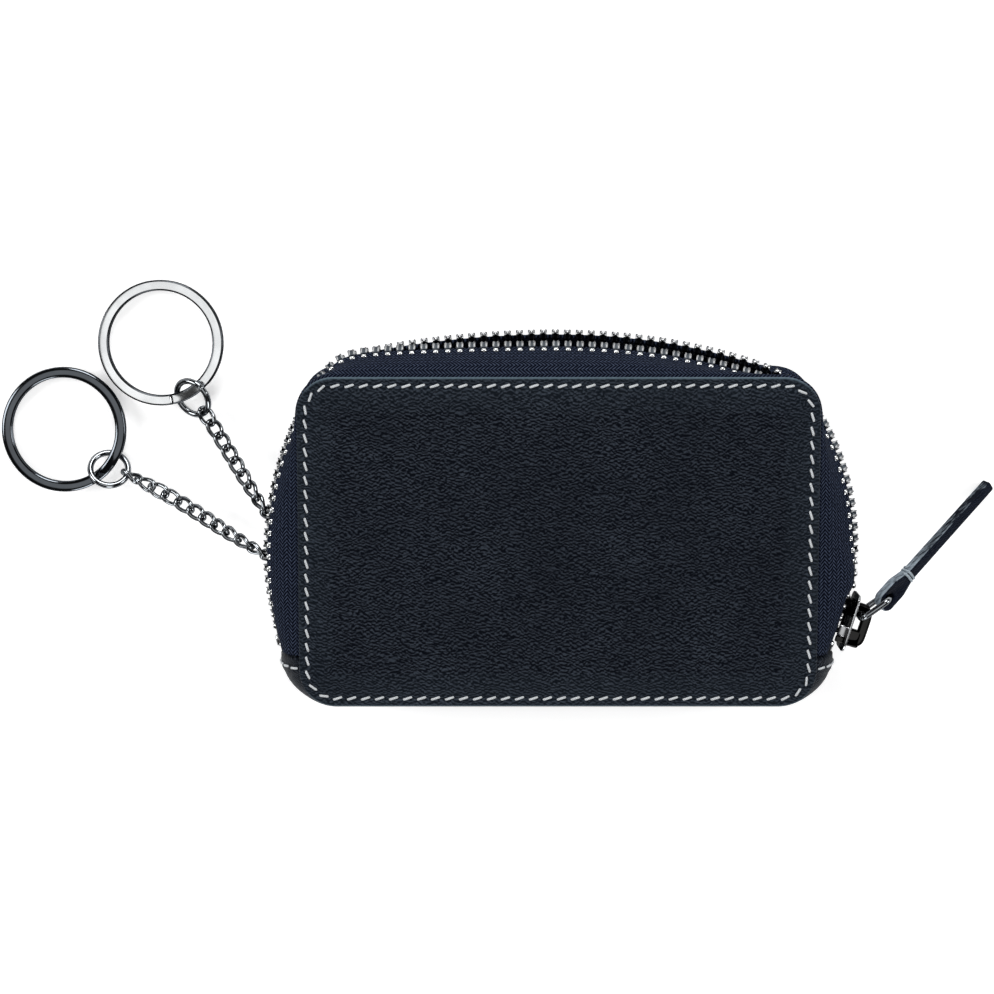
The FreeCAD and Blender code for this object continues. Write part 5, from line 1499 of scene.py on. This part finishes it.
def make_lining(front, case):
    """Woven lining glued to the board: a thin sheet with a soft edge."""
    inset, thick = case.lining_inset, case.lining_thick
    profile = np.array([[inset + TURNED_UNDER, 0.0], [inset + LINING_EDGE, 0.0], [inset, thick * 0.4],
                        [inset + EDGE_BREAK, thick * 0.9], [inset + LINING_SOFT, thick],
                        [LINING_FLAT[0], thick], [LINING_FLAT[1], thick]])
    rings = sheet_points(case, profile, LINING_RINGS)
    base = case.leather_thick + case.layer_thick
    rings[..., 2] = case.case_thick - base - rings[..., 2] if front else base + rings[..., 2]
    half = half_name(front)
    sheet = make_object(half + "_lining_cloth", rings, prism_faces(rings), [material("lining_cloth")])
    settle(sheet, "case_" + half, "lining_fabric", half + "_lining")


def dress_nodes():
    """Frame nodes that keep their own shape get the case's materials."""
    kept = {"back_board": "fibre_board", "front_board": "fibre_board", "anchor_rivet": "dark_nickel"}
    for node, name in kept.items():
        mesh = frame["nodes"][node].data
        mesh.materials.clear()
        mesh.materials.append(material(name))


# Stage

FLOOR_HALF, FLOOR_LEVEL, FLOOR_GLOW = 4.0, -0.0002, 0.46
LAMP_SIZE, LAMP_AIM = 0.45, (-0.01, 0.01, 0.0)
LAMPS = {"left_lamp": ((-0.80, 0.15, 0.52), 4.0), "right_lamp": ((0.80, 0.10, 0.50), 3.4),
         "far_lamp": ((0.00, 0.85, 0.50), 5.4), "near_lamp": ((0.00, -0.85, 0.52), 3.4)}
SKY_BANDS = ((0.0, 0.10), (0.2, 0.03), (0.6, 0.02), (0.9, 0.04), (0.93, 0.98), (1.0, 1.0))
CAMERA_AIM, CAMERA_TILT, CAMERA_DISTANCE = (-0.0119, 0.00742, 0.010), 8.0, 0.520
CAMERA_SENSOR, CAMERA_LENS = 36.0, 95.2


def make_stage(tint):
    """Pale floor, soft lamps, a bright room that metal can reflect, and the camera over the case."""
    scene = bpy.context.scene
    floor_mesh = bpy.data.meshes.new("floor")
    square = box_corners(-FLOOR_HALF, FLOOR_HALF, -FLOOR_HALF, FLOOR_HALF)
    floor_mesh.from_pydata([(x, y, FLOOR_LEVEL) for x, y in square], [], [(0, 1, 2, 3)])
    tree = Tree("floor")
    grain = tree.noise(tree.place(), 9.0)
    rays = tree.add("ShaderNodeLightPath")
    tree.set(Base_Color=tree.mix(grain, scaled(tint.floor, 0.985), tint.floor), Roughness=0.9)
    tree.set(Specular_IOR_Level=0.1, Emission_Color=(1.0, 1.0, 1.0, 1.0))
    seen = tree.larger(rays.outputs["Is Camera Ray"], rays.outputs["Is Glossy Ray"])
    seen = tree.larger(seen, rays.outputs["Is Transmission Ray"])
    tree.set(Emission_Strength=tree.times(seen, FLOOR_GLOW))
    floor_mesh.materials.append(tree.material)
    floor = bpy.data.objects.new("floor", floor_mesh)
    scene.collection.objects.link(floor)
    for name, (place, power) in LAMPS.items():
        lamp = bpy.data.lights.new(name, "AREA")
        lamp.shape = "DISK"
        lamp.size = LAMP_SIZE
        lamp.energy = power
        thing = bpy.data.objects.new(name, lamp)
        thing.location = place
        aim = Vector(LAMP_AIM) - Vector(place)
        thing.rotation_euler = aim.to_track_quat("-Z", "Y").to_euler()
        scene.collection.objects.link(thing)
    world = bpy.data.worlds.new("studio")
    scene.world = world
    world.use_nodes = True
    nodes, links = world.node_tree.nodes, world.node_tree.links
    nodes.clear()
    output = nodes.new("ShaderNodeOutputWorld")
    sky = nodes.new("ShaderNodeBackground")
    coordinates = nodes.new("ShaderNodeTexCoord")
    split = nodes.new("ShaderNodeSeparateXYZ")
    ramp = nodes.new("ShaderNodeValToRGB")
    links.new(coordinates.outputs["Generated"], split.inputs[0])
    links.new(split.outputs[2], ramp.inputs["Fac"])
    for index, (height, level) in enumerate(SKY_BANDS):
        stop = ramp.color_ramp.elements[index] if index < 2 else ramp.color_ramp.elements.new(height)
        stop.position = height
        stop.color = (level, level, level, 1.0)
    links.new(ramp.outputs["Color"], sky.inputs["Color"])
    links.new(sky.outputs[0], output.inputs[0])
    tilt = np.radians(CAMERA_TILT)
    view = bpy.data.cameras.new("camera")
    view.sensor_width = CAMERA_SENSOR
    view.lens = CAMERA_LENS
    camera = bpy.data.objects.new("camera", view)
    camera.location = CAMERA_AIM + CAMERA_DISTANCE * np.array([0.0, np.sin(tilt), np.cos(tilt)])
    camera.rotation_euler = (-tilt, 0.0, 0.0)
    scene.collection.objects.link(camera)
    scene.camera = camera
    scene.view_settings.view_transform = "Standard"


# Operators


def groups():
    """Sizes of the case, the zip, the pull and the chains."""
    scene = bpy.context.scene
    return scene.key_case, scene.key_case_zip, scene.key_case_pull, scene.key_case_chain


class KEYCASE_OT_leather(bpy.types.Operator):
    """Build both leather panels with their stitching"""

    bl_idname = "key_case.leather"
    bl_label = "Leather Panels"

    def execute(self, context):
        case = groups()[0]
        for front in (True, False):
            make_panel(front, case)
            make_stitches(front, case)
        return {"FINISHED"}


class KEYCASE_OT_inside(bpy.types.Operator):
    """Build the linings and dress the boards and the rivet"""

    bl_idname = "key_case.inside"
    bl_label = "Linings"

    def execute(self, context):
        case = groups()[0]
        for front in (True, False):
            make_lining(front, case)
        dress_nodes()
        return {"FINISHED"}


class KEYCASE_OT_zip(bpy.types.Operator):
    """Build the zip tapes, teeth and stops"""

    bl_idname = "key_case.zip"
    bl_label = "Zip"

    def execute(self, context):
        case, zips = groups()[:2]
        for front in (True, False):
            make_tape(front, case, zips)
            make_teeth(front, case, zips)
        make_stops(case, zips)
        return {"FINISHED"}


class KEYCASE_OT_gusset(bpy.types.Operator):
    """Build the gusset along the bottom with its sewn ends"""

    bl_idname = "key_case.gusset"
    bl_label = "Gusset"

    def execute(self, context):
        make_gusset(*groups()[:2])
        return {"FINISHED"}


class KEYCASE_OT_slider(bpy.types.Operator):
    """Build the zip slider and its bridge"""

    bl_idname = "key_case.slider"
    bl_label = "Slider"

    def execute(self, context):
        make_slider(*groups()[:3])
        return {"FINISHED"}


class KEYCASE_OT_pull(bpy.types.Operator):
    """Build the pull link and the leather strap"""

    bl_idname = "key_case.pull"
    bl_label = "Pull"

    def execute(self, context):
        make_pull_link(*groups()[:3])
        make_strap(*groups()[:3])
        return {"FINISHED"}


class KEYCASE_OT_chains(bpy.types.Operator):
    """Build the anchor, both chains, the jump rings and the split rings"""

    bl_idname = "key_case.chains"
    bl_label = "Chains and Rings"

    def execute(self, context):
        chain = groups()[3]
        make_anchor(chain)
        for name in ("a", "b"):
            hooks = make_chain(name, chain)
            seat = make_jump_ring(name, hooks, chain)
            make_key_ring(name, seat, chain)
        return {"FINISHED"}


class KEYCASE_OT_stage(bpy.types.Operator):
    """Build the floor, the lamps and the camera"""

    bl_idname = "key_case.stage"
    bl_label = "Stage"

    def execute(self, context):
        make_stage(context.scene.key_case_colours)
        return {"FINISHED"}


class KEYCASE_PT_sidebar(bpy.types.Panel):
    """Steps and sizes of the key case"""

    bl_idname = "KEYCASE_PT_sidebar"
    bl_label = "Key Case"
    bl_space_type = "VIEW_3D"
    bl_region_type = "UI"
    bl_category = "Key Case"

    def draw(self, context):
        for step in STEPS:
            self.layout.operator(step.bl_idname)
        for group in (*groups(), context.scene.key_case_colours):
            column = self.layout.column()
            for name in group.bl_rna.properties.keys():
                if name not in ("rna_type", "name"):
                    column.prop(group, name)


STEPS = (KEYCASE_OT_leather, KEYCASE_OT_inside, KEYCASE_OT_zip, KEYCASE_OT_gusset, KEYCASE_OT_slider,
         KEYCASE_OT_pull, KEYCASE_OT_chains, KEYCASE_OT_stage)
GROUPS = {"key_case": KEYCASE_PG_case, "key_case_zip": KEYCASE_PG_zip, "key_case_pull": KEYCASE_PG_pull,
          "key_case_chain": KEYCASE_PG_chain, "key_case_colours": KEYCASE_PG_colours}


def register():
    for name, group in GROUPS.items():
        bpy.utils.register_class(group)
        setattr(bpy.types.Scene, name, PointerProperty(type=group))
    for thing in (*STEPS, KEYCASE_PT_sidebar):
        bpy.utils.register_class(thing)


def unregister():
    for thing in (KEYCASE_PT_sidebar, *reversed(STEPS)):
        bpy.utils.unregister_class(thing)
    for name, group in GROUPS.items():
        delattr(bpy.types.Scene, name)
        bpy.utils.unregister_class(group)


def main():
    register()
    bpy.ops.key_case.leather()
    bpy.ops.key_case.inside()
    bpy.ops.key_case.zip()
    bpy.ops.key_case.gusset()
    bpy.ops.key_case.slider()
    bpy.ops.key_case.pull()
    bpy.ops.key_case.chains()
    bpy.ops.key_case.stage()


if __name__ == "__main__":
    main()
